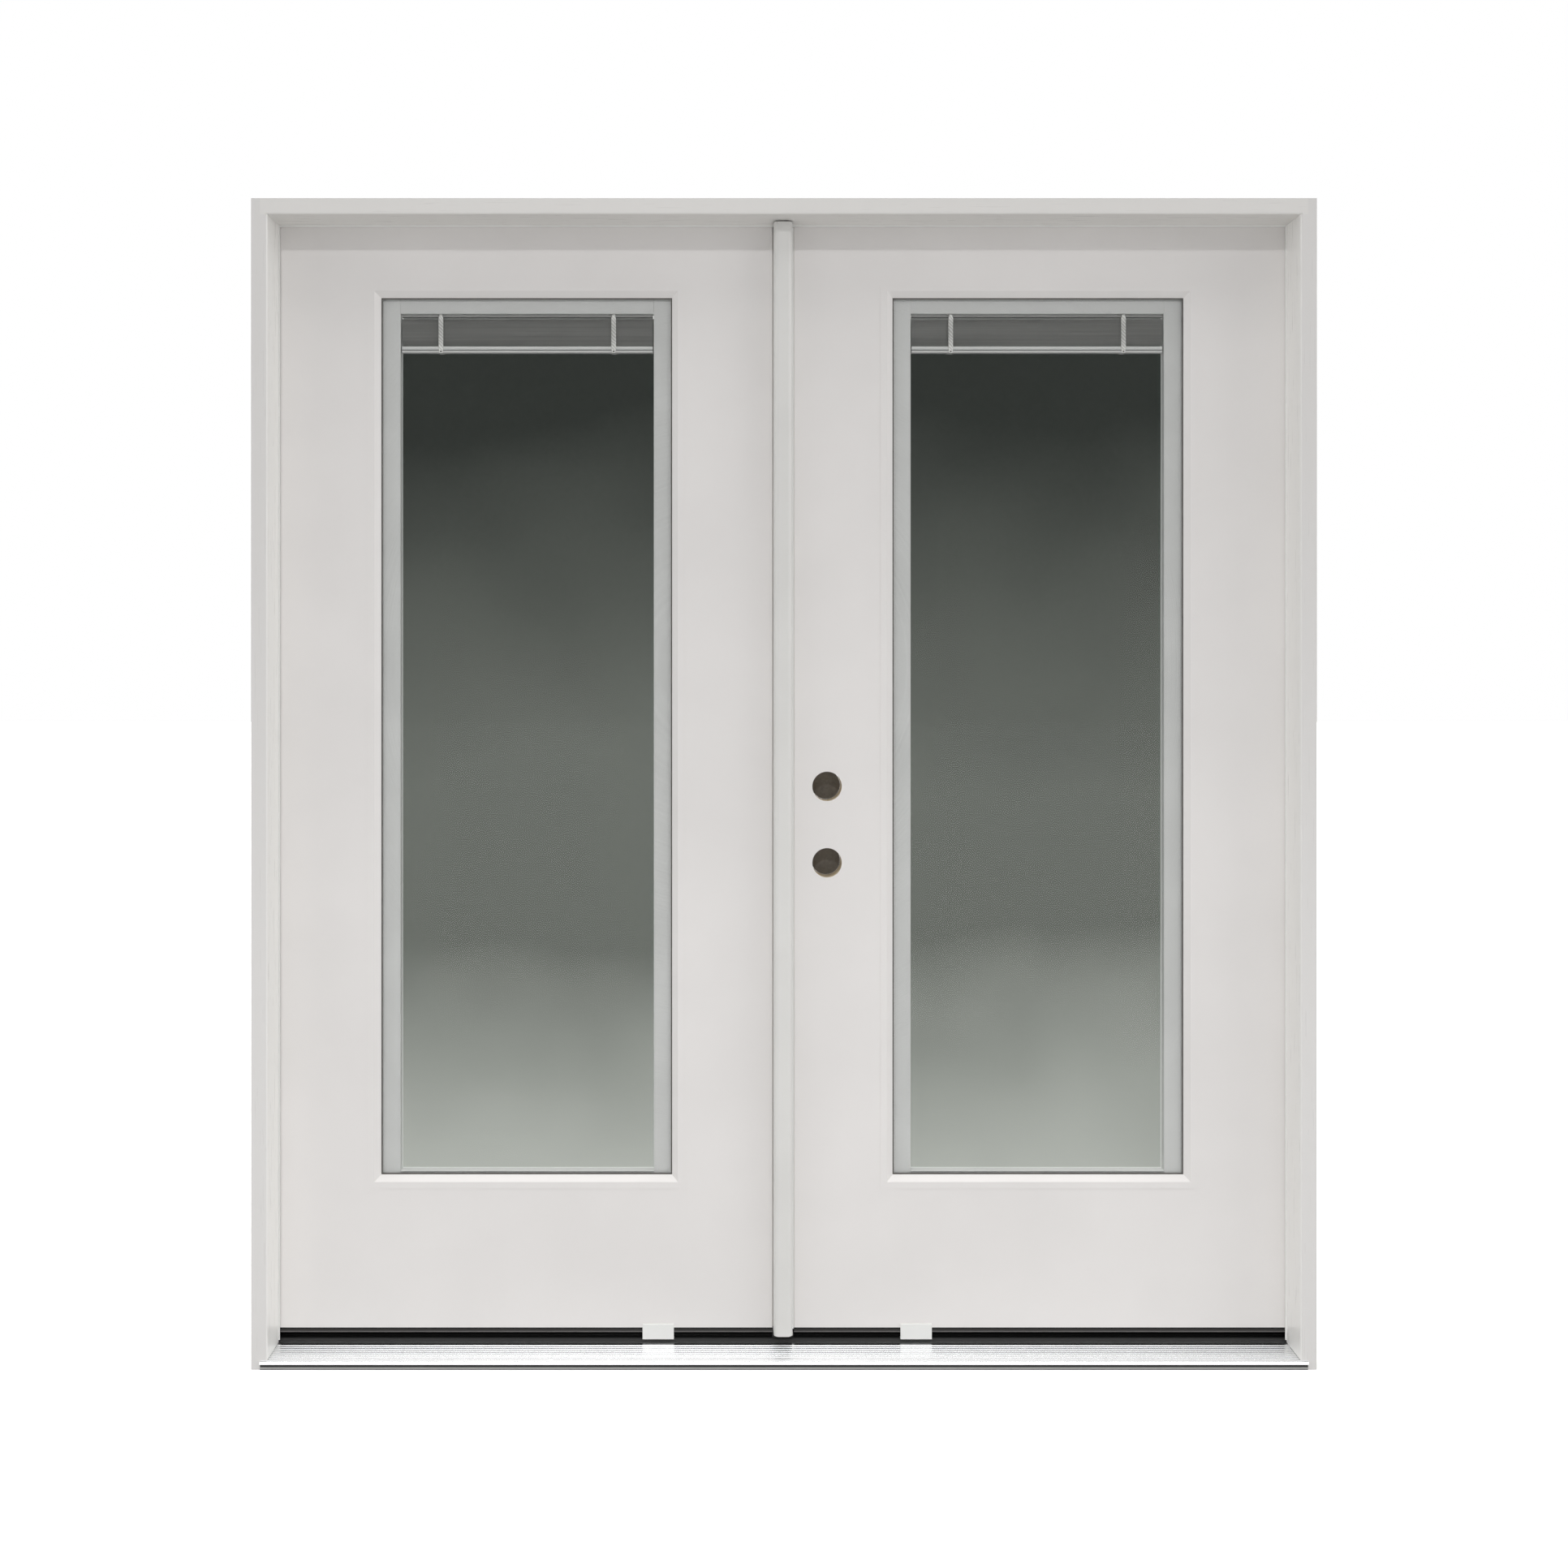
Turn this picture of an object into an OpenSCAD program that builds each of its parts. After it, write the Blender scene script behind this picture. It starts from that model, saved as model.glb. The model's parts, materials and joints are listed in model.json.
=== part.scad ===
// Glazed double door in its frame: two inswing leaves with raised blinds between the panes.
// Millimetres. X to the right seen from outside, Y from outside to inside, Z up.
// The origin is on the floor, midway across the frame and midway through the jamb's depth.

/* [Frame] */
// Overall width of the frame
frame_w = 1896; // [1700:1:2200]
// Overall height of the frame
frame_h = 2084; // [1950:1:2400]
// Depth of the jambs from outside to inside
jamb_depth = 116; // [108:1:180]
// Thickness of the jamb at its stop
jamb_t = 28.5; // [24:0.5:40]
// Depth of the step that takes the leaf
rabbet_d = 12.5; // [10:0.5:16]
// Radius on the jamb's outer inside edge
jamb_edge_r = 3; // [1:0.5:5]
// Gap between stop and leaf that the weatherstrip fills
seal_t = 4.5; // [3:0.5:8]
// Running gap round each leaf
leaf_gap = 3; // [2.5:0.1:5]

/* [Sill] */
// How far the sill's nose stands out in front of the jambs
nose_out = 4; // [4:1:40]
// Height of the nose's top edge
nose_z = 15; // [11:0.5:16]
// Height of the tread where it meets the riser
tread_back_z = 17; // [16.5:0.5:20]
// Thickness of the aluminium tread
tread_t = 2.2; // [1.5:0.1:3]
// Spacing of the tread's ridges
ridge_pitch = 7; // [5:0.5:12]
// Height of the tread's ridges
ridge_h = 1; // [0.5:0.1:1.5]
// Height of the riser under the leaves
riser_z = 22; // [21:0.5:30]

/* [Leaf] */
// Thickness of each leaf
leaf_t = 44.5; // [38:0.5:50]
// Space under each leaf for its sweep
sweep_space = 21; // [18:0.5:30]
// Thickness of the moulded skins
skin_t = 2; // [1.5:0.1:3]
// Width of the hinge stiles
hinge_stile_w = 45; // [40:1:70]
// Width of the left leaf's meeting stile
meeting_stile_w = 45; // [40:1:70]
// Width of the right leaf's lock stile
lock_stile_w = 110; // [100:1:130]
// Height of the top rails
top_rail_h = 45; // [30:1:80]
// Height of the bottom rails
bottom_rail_h = 70; // [40:1:120]

/* [Glazing] */
// Distance of each glazed opening's centre from the middle of the frame
lite_cx = 468.4; // [462:0.2:475]
// Width of the glazed opening
lite_w = 533; // [480:1:545]
// Height of the glazed opening
lite_h = 1606; // [1400:1:1660]
// Height of the opening's lower edge over the leaf's lower edge
lite_up = 277; // [240:1:330]
// Width of the moulded bevel round the glass
bevel_w = 11; // [6:0.5:12]
// Width of the raised lip round the bevel
lip_w = 12; // [6:0.5:20]
// Height of the raised lip
lip_h = 0.8; // [0.4:0.1:1.5]
// How far the glass unit is held behind the bevel
glass_bite = 13; // [12:0.5:16]
// Thickness of the sealed glass unit
unit_t = 25.5; // [24:0.5:28]
// Thickness of each pane
pane_t = 4; // [3:0.5:5]
// Width of the blind's side channels in view
channel_w = 34; // [28:1:45]
// Height of the blind's head in view
blind_head_h = 27.5; // [18:0.5:40]
// Height of the bottom channel in view
blind_sill_h = 5; // [3:0.5:12]

/* [Blind] */
// Number of slats in each blind
slat_count = 69; // [40:1:90]
// Spacing of the slats as they lie stacked
slat_pitch = 0.75; // [0.7:0.05:1]
// Thickness of a slat
slat_t = 0.35; // [0.2:0.05:0.4]
// Width of a slat
slat_w = 12.5; // [10:0.5:12.5]
// How far a slat's middle rises over its edges
slat_crown = 0.9; // [0.5:0.1:1.2]
// Height of the blind's bottom rail
rail_h = 12; // [8:0.5:14]
// Height of the rail's lip under its groove
rail_lip_h = 4; // [2:0.5:5]
// Height of the strip that hangs under the blind's head
strip_h = 3; // [2:0.5:5]
// Gap between the head and the strip
strip_gap = 2.4; // [1:0.1:5]
// Distance of the ladder tapes from the blind's middle
ladder_x = 158; // [120:1:180]
// Width of a ladder tape
ladder_w = 10; // [6:0.5:14]

/* [Meeting edge] */
// Width of the astragal's rounded nose
nose_w = 34; // [30:0.5:40]
// How far the nose stands out from the leaf's face
nose_d = 38; // [20:1:44]
// Radius of the nose's front corners
nose_r = 10; // [6:0.5:12]
// Wall of the hollow nose
nose_wall = 2.5; // [1.5:0.1:4]
// Groove between the left leaf and the nose
left_reveal = 1.6; // [1:0.1:2]
// Running gap between the nose and the right leaf
right_reveal = 4.2; // [4:0.1:6]

/* [Lock bores] */
// Distance of the bores from the right leaf's edge
backset = 60.3; // [56:0.1:72]
// Diameter of the bores
bore_d = 54; // [50:0.5:56]
// Height of the lower bore over the leaf's lower edge
bore_up = 849; // [800:1:1000]
// Spacing of the two bores
bore_spacing = 139.7; // [120:0.1:160]
// Diameter of the latch bores in the leaf's edge
latch_d = 25.4; // [22:0.1:27]

/* [Hinges] */
// Height of a hinge
hinge_h = 101.6; // [90:0.1:115]
// Depth of a hinge plate in the leaf's edge
hinge_d = 36; // [30:0.5:37]
// Thickness of a hinge plate
hinge_t = 2.5; // [2:0.1:3]
// Radius of a hinge plate's corners
hinge_r = 6.35; // [3:0.05:10]
// Radius of a hinge knuckle
knuckle_r = 6.35; // [5.5:0.05:6.5]
// Radius of a hinge pin
pin_r = 3.5; // [3:0.1:4]
// Distance from the leaf's top to the top hinge
hinge_top = 178; // [120:1:250]
// Distance from the leaf's bottom to the bottom hinge
hinge_bottom = 254; // [150:1:300]

/* [Bolts] */
// Diameter of the flush bolts
bolt_d = 9; // [7:0.5:10]
// Length of a flush bolt
bolt_l = 180; // [120:1:240]
// How far the upper bolt is thrown
upper_throw = 12; // [8:0.5:14]
// How far the lower bolt is thrown
lower_throw = 30; // [26:0.5:31]

/* [Sweep clips] */
// Distance of the left clip from the middle of the frame
left_clip_x = 227; // [100:1:600]
// Distance of the right clip from the middle of the frame
right_clip_x = 244; // [100:1:600]
// Width of a clip
clip_w = 57; // [40:1:80]
// Thickness of a clip
clip_t = 3; // [2:0.1:4]
// How far a clip laps up the leaf's face
clip_lap = 7; // [4:0.5:15]

/* [Hidden] */
$fn = 64;
over = 1;
touch = 0.1;

// Frame layout
y_out = -jamb_depth / 2;
y_in = jamb_depth / 2;
frame_x = frame_w / 2;
jamb_thin = jamb_t - rabbet_d;
rabbet_x = frame_x - jamb_thin;
stop_x = frame_x - jamb_t;
head_z = frame_h - jamb_thin;
head_stop_z = frame_h - jamb_t;
small_ease = 1;

// Leaf layout
leaf_y0 = y_in - leaf_t;
leaf_y1 = y_in;
leaf_ym = (leaf_y0 + leaf_y1) / 2;
stop_y = leaf_y0 - seal_t;
leaf_x = rabbet_x - leaf_gap;
leaf_z0 = riser_z + sweep_space;
leaf_z1 = head_z - leaf_gap;
left_meet = nose_w / 2 + left_reveal;
right_meet = nose_w / 2 + right_reveal;
core_y0 = leaf_y0 + skin_t;
core_y1 = leaf_y1 - skin_t;

// Weatherstrip in its kerf
kerf_w = 3;
kerf_d = 9;
kerf_in = 4;
bulb_w = 11;
bulb_proud = 2;
bulb_r = 1.8;
seal_clear = 0.4;
barb_clear = 0.3;

// Sill layout
nose_y = y_out - nose_out;
riser_y0 = leaf_y0 + small_ease;
slope = (tread_back_z - nose_z) / (riser_y0 - nose_y);
nose_lip_h = 4.5;
nose_lip_t = 2.5;
nose_ease = 1;
leg_in = 4;
leg_y0 = nose_y + leg_in;
leg_y1 = leg_y0 + tread_t;
ridge_w = 3;
ridge_ease = 0.7;
ridge_margin = 4;
ridge_n = floor((riser_y0 - nose_y - 2 * ridge_margin) / ridge_pitch);
riser_h = 10;
base_step_z = riser_z - riser_h;
riser_r = 2.5;
stop_seat = 0.2;
pad_clear = 0.6;
pad_t = leaf_gap - pad_clear;
pad_h = 45;
pad_margin = 4;
pad_in = 9;

// Glass unit
lite_x0 = -lite_cx - lite_w / 2;
lite_x1 = -lite_cx + lite_w / 2;
lite_z0 = leaf_z0 + lite_up;
lite_z1 = lite_z0 + lite_h;
unit_x0 = lite_x0 - glass_bite;
unit_x1 = lite_x1 + glass_bite;
unit_z0 = lite_z0 - glass_bite;
unit_z1 = lite_z1 + glass_bite;
unit_y0 = leaf_ym - unit_t / 2;
unit_y1 = leaf_ym + unit_t / 2;
cavity_y0 = unit_y0 + pane_t;
cavity_y1 = unit_y1 - pane_t;
bevel_land = 1.5;
pocket_clear = 0.3;
channel_r = 1;

// Blind between the channels
slat_gap = 2;
slat_x0 = lite_x0 + channel_w + slat_gap;
slat_x1 = lite_x1 - channel_w - slat_gap;
stack_gap = 0.4;
head_strip_z1 = lite_z1 - blind_head_h - strip_gap;
head_strip_z0 = head_strip_z1 - strip_h;
hanger_w = 16;
hanger_in = 3;
stack_z1 = head_strip_z0 - stack_gap;
stack_h = slat_count * slat_pitch + slat_crown;
rail_z1 = stack_z1 - stack_h - stack_gap;
rail_z0 = rail_z1 - rail_h;
rail_r = 2.5;
rail_groove_h = 1.5;
rail_groove_d = 1.5;
slat_y0 = leaf_ym - slat_w / 2;
slat_y1 = leaf_ym + slat_w / 2;
slat_steps = 6;
ladder_t = 1.2;
ladder_gap = 0.3;
ladder_head_gap = 0.4;
ladder_tail = 2;
ladder_r = 0.4;

// Slider on the inner pane
slider_w = 22;
slider_h = 60;
slider_t = 13;
slider_r = 4;
slider_gap = 0.3;
slider_up = 10;
grip_n = 5;
grip_pitch = 5;
grip_w = 2;
grip_d = 1.5;

// Astragal
nose_y0 = leaf_y0 - nose_d;
nose_top_gap = 2.7;
nose_z1 = head_stop_z - nose_top_gap;
body_set = 2;
body_x1 = nose_w / 2 - body_set;
groove_d = 6;
seal_in = 0.5;
astragal_seal_w = 10;
astragal_seal_r = 1.2;
seal_slot_w = 3;
seal_slot_d = 5;
seal_slot_y0 = leaf_y0 + seal_in + (astragal_seal_w - seal_slot_w) / 2;
seal_run = 1.9;
seal_x1 = right_meet - seal_run;
boot_out = 3;
boot_x1 = body_x1 + boot_out;

// Flush bolts
bolt_r = bolt_d / 2;
bolt_fit = 0.1;
bolt_y = leaf_ym;
bolt_inset = 0.5;
tab_h = 18;
tab_w = 7;
tab_in = 1.5;
tab_share = 0.6;
slot_clear = 0.5;
strike_clear = 1;
strike_r = bolt_r + strike_clear;
strike_l = 40;
strike_w = 22;
strike_t = 1.5;
strike_corner = 4;
sill_hole_d = 14;
upper_z0 = leaf_z1 - bolt_inset - bolt_l;
lower_z0 = leaf_z0 + bolt_inset;
upper_tab_z = upper_z0 + tab_share * (bolt_l - tab_h) / 2;
lower_tab_z = lower_z0 + bolt_l - tab_h - tab_share * (bolt_l - tab_h) / 2;

// Hinges
barrel_clear = 0.5;
pin_off = knuckle_r + barrel_clear;
pin_x = rabbet_x - leaf_gap / 2;
pin_y = y_in + pin_off;
pin_fit = 0.06;
pin_tip = 3.5;
knuckle_n = 5;
knuckle_gap = 0.3;
knuckle_h = hinge_h / knuckle_n;
hinge_fit = 0.1;
hinge_z = [
    leaf_z0 + hinge_bottom + hinge_h / 2,
    (leaf_z0 + hinge_bottom + leaf_z1 - hinge_top) / 2,
    leaf_z1 - hinge_top - hinge_h / 2
];
// Places of a plate's screws as shares of its depth from the inner edge and of its height
screw_shares = [[0.7, -0.38], [0.32, -0.14], [0.32, 0.14], [0.7, 0.38]];

// Screws
screw_fit = 0.1;
hinge_screw_d = 4;
hinge_screw_head = 8.4;
hinge_screw_cone = 2.2;
jamb_screw_l = 14;
leaf_screw_l = 26;
frame_screw_d = 4.6;
frame_screw_head = 9;
frame_screw_cone = 2.6;
frame_screw_l = 50;
riser_screw_l = 14;
riser_screw_n = 6;
// Places across the jamb's depth of the screws at the head and at the sill
head_screw_shares = [0.16, 0.42, 0.82];
sill_screw_shares = [0.3, 0.75];
sill_screw_z = 6;

// Sweep, with its round front lip and three fins
sweep_lift = 2.6;
sweep_z0 = riser_z + sweep_lift;
sweep_end = 1;
sweep_base_t = 3;
sweep_in = 2;
sweep_front_r = 5.2;
sweep_lip_r = 3.2;
sweep_fin_t = 2;
sweep_clear = 0.4;
fin_shares = [0.3, 0.62, 0.94];
clip_clear = 0.5;
clip_toe = 9;
clip_toe_t = 1.6;
clip_r = 0.8;

WHITE = [0.87, 0.86, 0.84];
VINYL = [0.9, 0.9, 0.88];
BLACK = [0.05, 0.05, 0.05];
ALUMINIUM = [0.75, 0.76, 0.78];
STEEL = [0.62, 0.62, 0.6];
CHANNEL = [0.66, 0.67, 0.66];
SLAT = [0.4, 0.4, 0.4];
TIMBER = [0.72, 0.6, 0.44];
FOAM = [0.85, 0.8, 0.62];
COMPOSITE = [0.5, 0.48, 0.45];
GLASS = [0.55, 0.62, 0.58, 0.35];

// Height of the tread's top and underside at a depth
function tread_z(y) = nose_z + (y - nose_y) * slope;
function tread_under(y) = tread_z(y) - tread_t;
// Rise of a slat over its edges, at a share of its width from -1 to 1
function crown(share) = slat_crown * (1 - share * share);

// A box between two corners
module bar(x0, x1, y0, y1, z0, z1) {
    translate([x0, y0, z0]) cube([x1 - x0, y1 - y0, z1 - z0]);
}

// A rectangle with round corners, flagged in the order x0y0, x1y0, x1y1, x0y1
module eased_rect(x0, y0, x1, y1, r, corners = [1, 1, 1, 1]) {
    cx = [x0, x1, x1, x0];
    cy = [y0, y0, y1, y1];
    dx = [1, -1, -1, 1];
    dy = [1, 1, -1, -1];
    difference() {
        translate([x0, y0]) square([x1 - x0, y1 - y0]);
        for (i = [0:3]) if (corners[i]) difference() {
            translate([cx[i] - (dx[i] > 0 ? over : r), cy[i] - (dy[i] > 0 ? over : r)])
                square(r + over);
            translate([cx[i] + dx[i] * r, cy[i] + dy[i] * r]) circle(r);
        }
    }
}

// A Y and Z outline drawn out along X
module along_x(x0, x1) {
    translate([x0, 0, 0]) rotate([90, 0, 90]) linear_extrude(x1 - x0) children();
}

// An X and Y outline drawn out along Z
module along_z(z0, z1) {
    translate([0, 0, z0]) linear_extrude(z1 - z0) children();
}

// The left side's shape, or its mirror image for the right side
module sided(right) {
    mirror([right ? 1 : 0, 0, 0]) children();
}

// A countersunk screw from its head's face at the origin along +X, grown all round for its hole
module screw(d, length, head, cone, grow = 0) {
    rotate([0, 90, 0]) {
        cylinder(h = cone, r1 = head / 2 + grow, r2 = d / 2 + grow);
        cylinder(h = length + grow, r = d / 2 + grow);
    }
}

// Jambs

module jamb_outline() {
    difference() {
        union() {
            eased_rect(-frame_x, y_out, -stop_x, stop_y, jamb_edge_r, [0, 1, 0, 0]);
            eased_rect(-frame_x, y_out + jamb_edge_r, -rabbet_x, y_in, small_ease, [0, 0, 1, 1]);
        }
        translate([-stop_x - kerf_in - kerf_w, stop_y - kerf_d]) square([kerf_w, kerf_d + over]);
    }
}

module side_jamb() {
    difference() {
        along_z(0, frame_h) jamb_outline();
        bar(-rabbet_x, -stop_x + over, y_out - over, stop_y + over, head_stop_z, frame_h + over);
        along_x(-rabbet_x, -stop_x + over) polygon([
            [y_out - over, -over], [stop_y + over, -over],
            [stop_y + over, tread_z(stop_y + over) + ridge_h + stop_seat],
            [y_out - over, tread_z(y_out - over) + ridge_h + stop_seat]
        ]);
        for (z = hinge_z) {
            hinge_mortise(-rabbet_x - hinge_t, -rabbet_x + over, z);
            plate_screws(-rabbet_x, z, -1, jamb_screw_l, screw_fit);
        }
        corner_screws(screw_fit);
    }
}

module left_jamb() { color(WHITE) side_jamb(); }
module right_jamb() { color(WHITE) sided(true) side_jamb(); }

module head_jamb() {
    color(WHITE) difference() {
        union() {
            along_x(-rabbet_x, rabbet_x) difference() {
                union() {
                    eased_rect(y_out, head_stop_z, stop_y, frame_h, jamb_edge_r, [1, 0, 0, 0]);
                    eased_rect(y_out + jamb_edge_r, head_z, y_in, frame_h, small_ease, [0, 1, 1, 0]);
                }
                translate([stop_y - kerf_d, head_stop_z + kerf_in]) square([kerf_d + over, kerf_w]);
            }
            // The eased edge stops short of the jambs, so their faces run on into the head's
            for (right = [false, true]) sided(right) bar(-rabbet_x, -stop_x - jamb_edge_r,
                y_out, y_out + jamb_edge_r, head_stop_z, head_stop_z + jamb_edge_r);
        }
        translate([0, bolt_y, head_z - over]) cylinder(h = jamb_thin + 2 * over, r = strike_r);
        along_z(head_z - over, head_z + strike_t) strike_outline(hinge_fit);
        for (right = [false, true]) sided(right) corner_screws(screw_fit);
    }
}

// Weatherstrips

module side_strip() {
    bulb_x1 = -stop_x + bulb_proud;
    along_z(riser_z, head_stop_z - bulb_proud) {
        eased_rect(bulb_x1 - bulb_w, stop_y, bulb_x1, leaf_y0 - seal_clear, bulb_r);
        translate([-stop_x - kerf_in - kerf_w + barb_clear, stop_y - kerf_d + barb_clear])
            square([kerf_w - 2 * barb_clear, kerf_d + bulb_r]);
    }
}

module left_weatherstrip() { color(VINYL) side_strip(); }
module right_weatherstrip() { color(VINYL) sided(true) side_strip(); }

module head_weatherstrip() {
    bulb_z0 = head_stop_z - bulb_proud;
    color(VINYL) along_x(-rabbet_x + seal_clear, rabbet_x - seal_clear) {
        eased_rect(stop_y, bulb_z0, leaf_y0 - seal_clear, bulb_z0 + bulb_w, bulb_r);
        translate([stop_y - kerf_d + barb_clear, head_stop_z + kerf_in + barb_clear])
            square([kerf_d + bulb_r, kerf_w - 2 * barb_clear]);
    }
}

// Sill

module bolt_hole() {
    translate([0, bolt_y, riser_z - sill_hole_d]) cylinder(h = sill_hole_d + over, r = strike_r);
}

module sill_base() {
    color(COMPOSITE) difference() {
        along_x(-rabbet_x, rabbet_x) polygon([
            [leg_y1, 0], [y_in, 0], [y_in, base_step_z], [riser_y0, base_step_z],
            [riser_y0, tread_under(riser_y0)], [leg_y1, tread_under(leg_y1)]
        ]);
        bolt_hole();
        for (right = [false, true]) sided(right) corner_screws(screw_fit);
        riser_screws(screw_fit);
    }
}

module sill_tread() {
    // Each ridge is a low flat-topped rib across the slope
    ridges = [for (i = [0:ridge_n - 1]) let (y = nose_y + ridge_margin + i * ridge_pitch) each [
        [y, tread_z(y)], [y + ridge_ease, tread_z(y) + ridge_h],
        [y + ridge_w - ridge_ease, tread_z(y + ridge_w) + ridge_h], [y + ridge_w, tread_z(y + ridge_w)]
    ]];
    lip_y1 = nose_y + nose_lip_t;
    color(ALUMINIUM) along_x(-rabbet_x, rabbet_x) polygon(concat(
        [[nose_y, nose_z - nose_lip_h], [nose_y, nose_z - nose_ease], [nose_y + nose_ease, nose_z]],
        ridges,
        [
            [riser_y0, tread_z(riser_y0)], [riser_y0, tread_under(riser_y0)],
            [leg_y1, tread_under(leg_y1)], [leg_y1, 0], [leg_y0, 0], [leg_y0, tread_under(leg_y0)],
            [lip_y1, tread_under(lip_y1)], [lip_y1, nose_z - nose_lip_h]
        ]
    ));
}

module sill_riser() {
    color(BLACK) difference() {
        along_x(-rabbet_x, rabbet_x)
            eased_rect(riser_y0, base_step_z, y_in, riser_z, riser_r, [0, 0, 1, 1]);
        bolt_hole();
        along_z(riser_z - strike_t, riser_z + over) strike_outline(hinge_fit);
        riser_screws(screw_fit);
    }
}

module corner_pads() {
    color(BLACK) for (right = [false, true]) sided(right) along_z(riser_z, riser_z + pad_h)
        eased_rect(-rabbet_x, riser_y0 + pad_margin, -rabbet_x + pad_t, y_in - pad_in,
            small_ease, [0, 1, 1, 0]);
}

// Frame fasteners

module corner_screws(grow = 0) {
    for (share = head_screw_shares) {
        y = y_out + share * jamb_depth;
        z = y < stop_y ? frame_h - jamb_t / 2 : frame_h - jamb_thin / 2;
        translate([-frame_x, y, z])
            screw(frame_screw_d, frame_screw_l, frame_screw_head, frame_screw_cone, grow);
    }
    for (share = sill_screw_shares) translate([-frame_x, y_out + share * jamb_depth, sill_screw_z])
        screw(frame_screw_d, frame_screw_l, frame_screw_head, frame_screw_cone, grow);
}

module riser_screws(grow = 0) {
    for (i = [0:riser_screw_n - 1])
        translate([(2 * i + 1 - riser_screw_n) * rabbet_x / riser_screw_n, bolt_y, riser_z])
            rotate([0, 90, 0])
                screw(frame_screw_d, riser_screw_l, frame_screw_head, frame_screw_cone, grow);
}

module frame_screws() {
    color(STEEL) {
        for (right = [false, true]) sided(right) corner_screws();
        riser_screws();
    }
}

module strike_outline(grow = 0) {
    difference() {
        eased_rect(-strike_l / 2 - grow, bolt_y - strike_w / 2 - grow, strike_l / 2 + grow,
            bolt_y + strike_w / 2 + grow, strike_corner);
        if (grow == 0) translate([0, bolt_y]) circle(strike_r);
    }
}

module bolt_strikes() {
    color(STEEL) {
        along_z(head_z, head_z + strike_t) strike_outline();
        along_z(riser_z - strike_t, riser_z) strike_outline();
    }
}

// Hinges

module plate_outline(z, grow = 0) {
    eased_rect(y_in - hinge_d - grow, z - hinge_h / 2 - grow, y_in + grow, z + hinge_h / 2 + grow,
        hinge_r, [1, 0, 0, 1]);
}

module hinge_mortise(x0, x1, z) {
    along_x(x0, x1) plate_outline(z, hinge_fit);
}

// A plate's four screws, their heads at a face across X and their points towards the given way
module plate_screws(x, z, way, length, grow = 0) {
    for (s = screw_shares) translate([x, y_in - s[0] * hinge_d, z + s[1] * hinge_h])
        mirror([way < 0 ? 1 : 0, 0, 0])
            screw(hinge_screw_d, length, hinge_screw_head, hinge_screw_cone, grow);
}

// One half of a hinge: its plate, and every second knuckle from the first one given
module hinge_leaf(x0, z, first, screw_x, way) {
    difference() {
        union() {
            along_x(x0, x0 + hinge_t) plate_outline(z);
            for (i = [first:2:knuckle_n - 1]) {
                z0 = z - hinge_h / 2 + i * knuckle_h + knuckle_gap / 2;
                z1 = z0 + knuckle_h - knuckle_gap;
                translate([-pin_x, pin_y, z0]) cylinder(h = z1 - z0, r = knuckle_r);
                bar(x0, x0 + hinge_t, y_in - small_ease, pin_y, z0, z1);
            }
        }
        translate([-pin_x, pin_y, z - hinge_h / 2 - over])
            cylinder(h = hinge_h + 2 * over, r = pin_r + pin_fit);
        plate_screws(screw_x, z, way, leaf_screw_l, screw_fit);
    }
}

module jamb_hinge_leaves() {
    color(STEEL) for (right = [false, true], z = hinge_z) sided(right)
        hinge_leaf(-rabbet_x - hinge_t, z, 0, -rabbet_x, -1);
}

module leaf_hinge_leaves() {
    color(STEEL) for (z = hinge_z) hinge_leaf(-leaf_x, z, 1, -leaf_x, 1);
}

module hinge_pins() {
    color(STEEL) for (right = [false, true], z = hinge_z) sided(right)
        translate([-pin_x, pin_y, z - hinge_h / 2]) {
            translate([0, 0, -pin_tip]) cylinder(h = pin_tip, r1 = pin_r, r2 = knuckle_r);
            cylinder(h = hinge_h, r = pin_r);
            translate([0, 0, hinge_h]) cylinder(h = pin_tip, r1 = knuckle_r, r2 = pin_r);
        }
}

module jamb_hinge_screws() {
    color(STEEL) for (right = [false, true], z = hinge_z) sided(right)
        plate_screws(-rabbet_x, z, -1, jamb_screw_l);
}

module leaf_hinge_screws() {
    color(STEEL) for (z = hinge_z) plate_screws(-leaf_x, z, 1, leaf_screw_l);
}

// Leaves, drawn on the left side with their meeting edge at the given distance from the middle

// Space of the glazed opening, which narrows from the leaf's face to the glass
module lite_opening() {
    bevel_y1 = unit_y0 - bevel_land;
    bevel_y0 = leaf_y0 - lip_h;
    front = bevel_y0 - over;
    wide = bevel_w * (bevel_y1 - front) / (bevel_y1 - bevel_y0);
    intersection() {
        along_z(lite_z0 - wide, lite_z1 + wide) polygon([
            [lite_x0 - wide, front], [lite_x1 + wide, front], [lite_x1, bevel_y1], [lite_x0, bevel_y1]
        ]);
        along_x(lite_x0 - wide, lite_x1 + wide) polygon([
            [front, lite_z0 - wide], [bevel_y1, lite_z0], [bevel_y1, lite_z1], [front, lite_z1 + wide]
        ]);
    }
    bar(lite_x0, lite_x1, bevel_y1 - touch, unit_y0 + over, lite_z0, lite_z1);
}

module lock_bores() {
    for (i = [0, 1]) translate([-right_meet - backset, 0, leaf_z0 + bore_up + i * bore_spacing]) {
        translate([0, leaf_y0 - over, 0]) rotate([-90, 0, 0])
            cylinder(h = leaf_t + 2 * over, r = bore_d / 2);
        translate([0, leaf_ym, 0]) rotate([0, 90, 0]) cylinder(h = backset + over, r = latch_d / 2);
    }
}

module skin(meet) {
    lip = bevel_w + lip_w;
    difference() {
        union() {
            bar(-leaf_x, -meet, leaf_y0, core_y0, leaf_z0, leaf_z1);
            bar(lite_x0 - lip, lite_x1 + lip, leaf_y0 - lip_h, core_y0, lite_z0 - lip, lite_z1 + lip);
            bar(unit_x0, unit_x1, leaf_y0, unit_y0, unit_z0, unit_z1);
        }
        lite_opening();
    }
}

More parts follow.
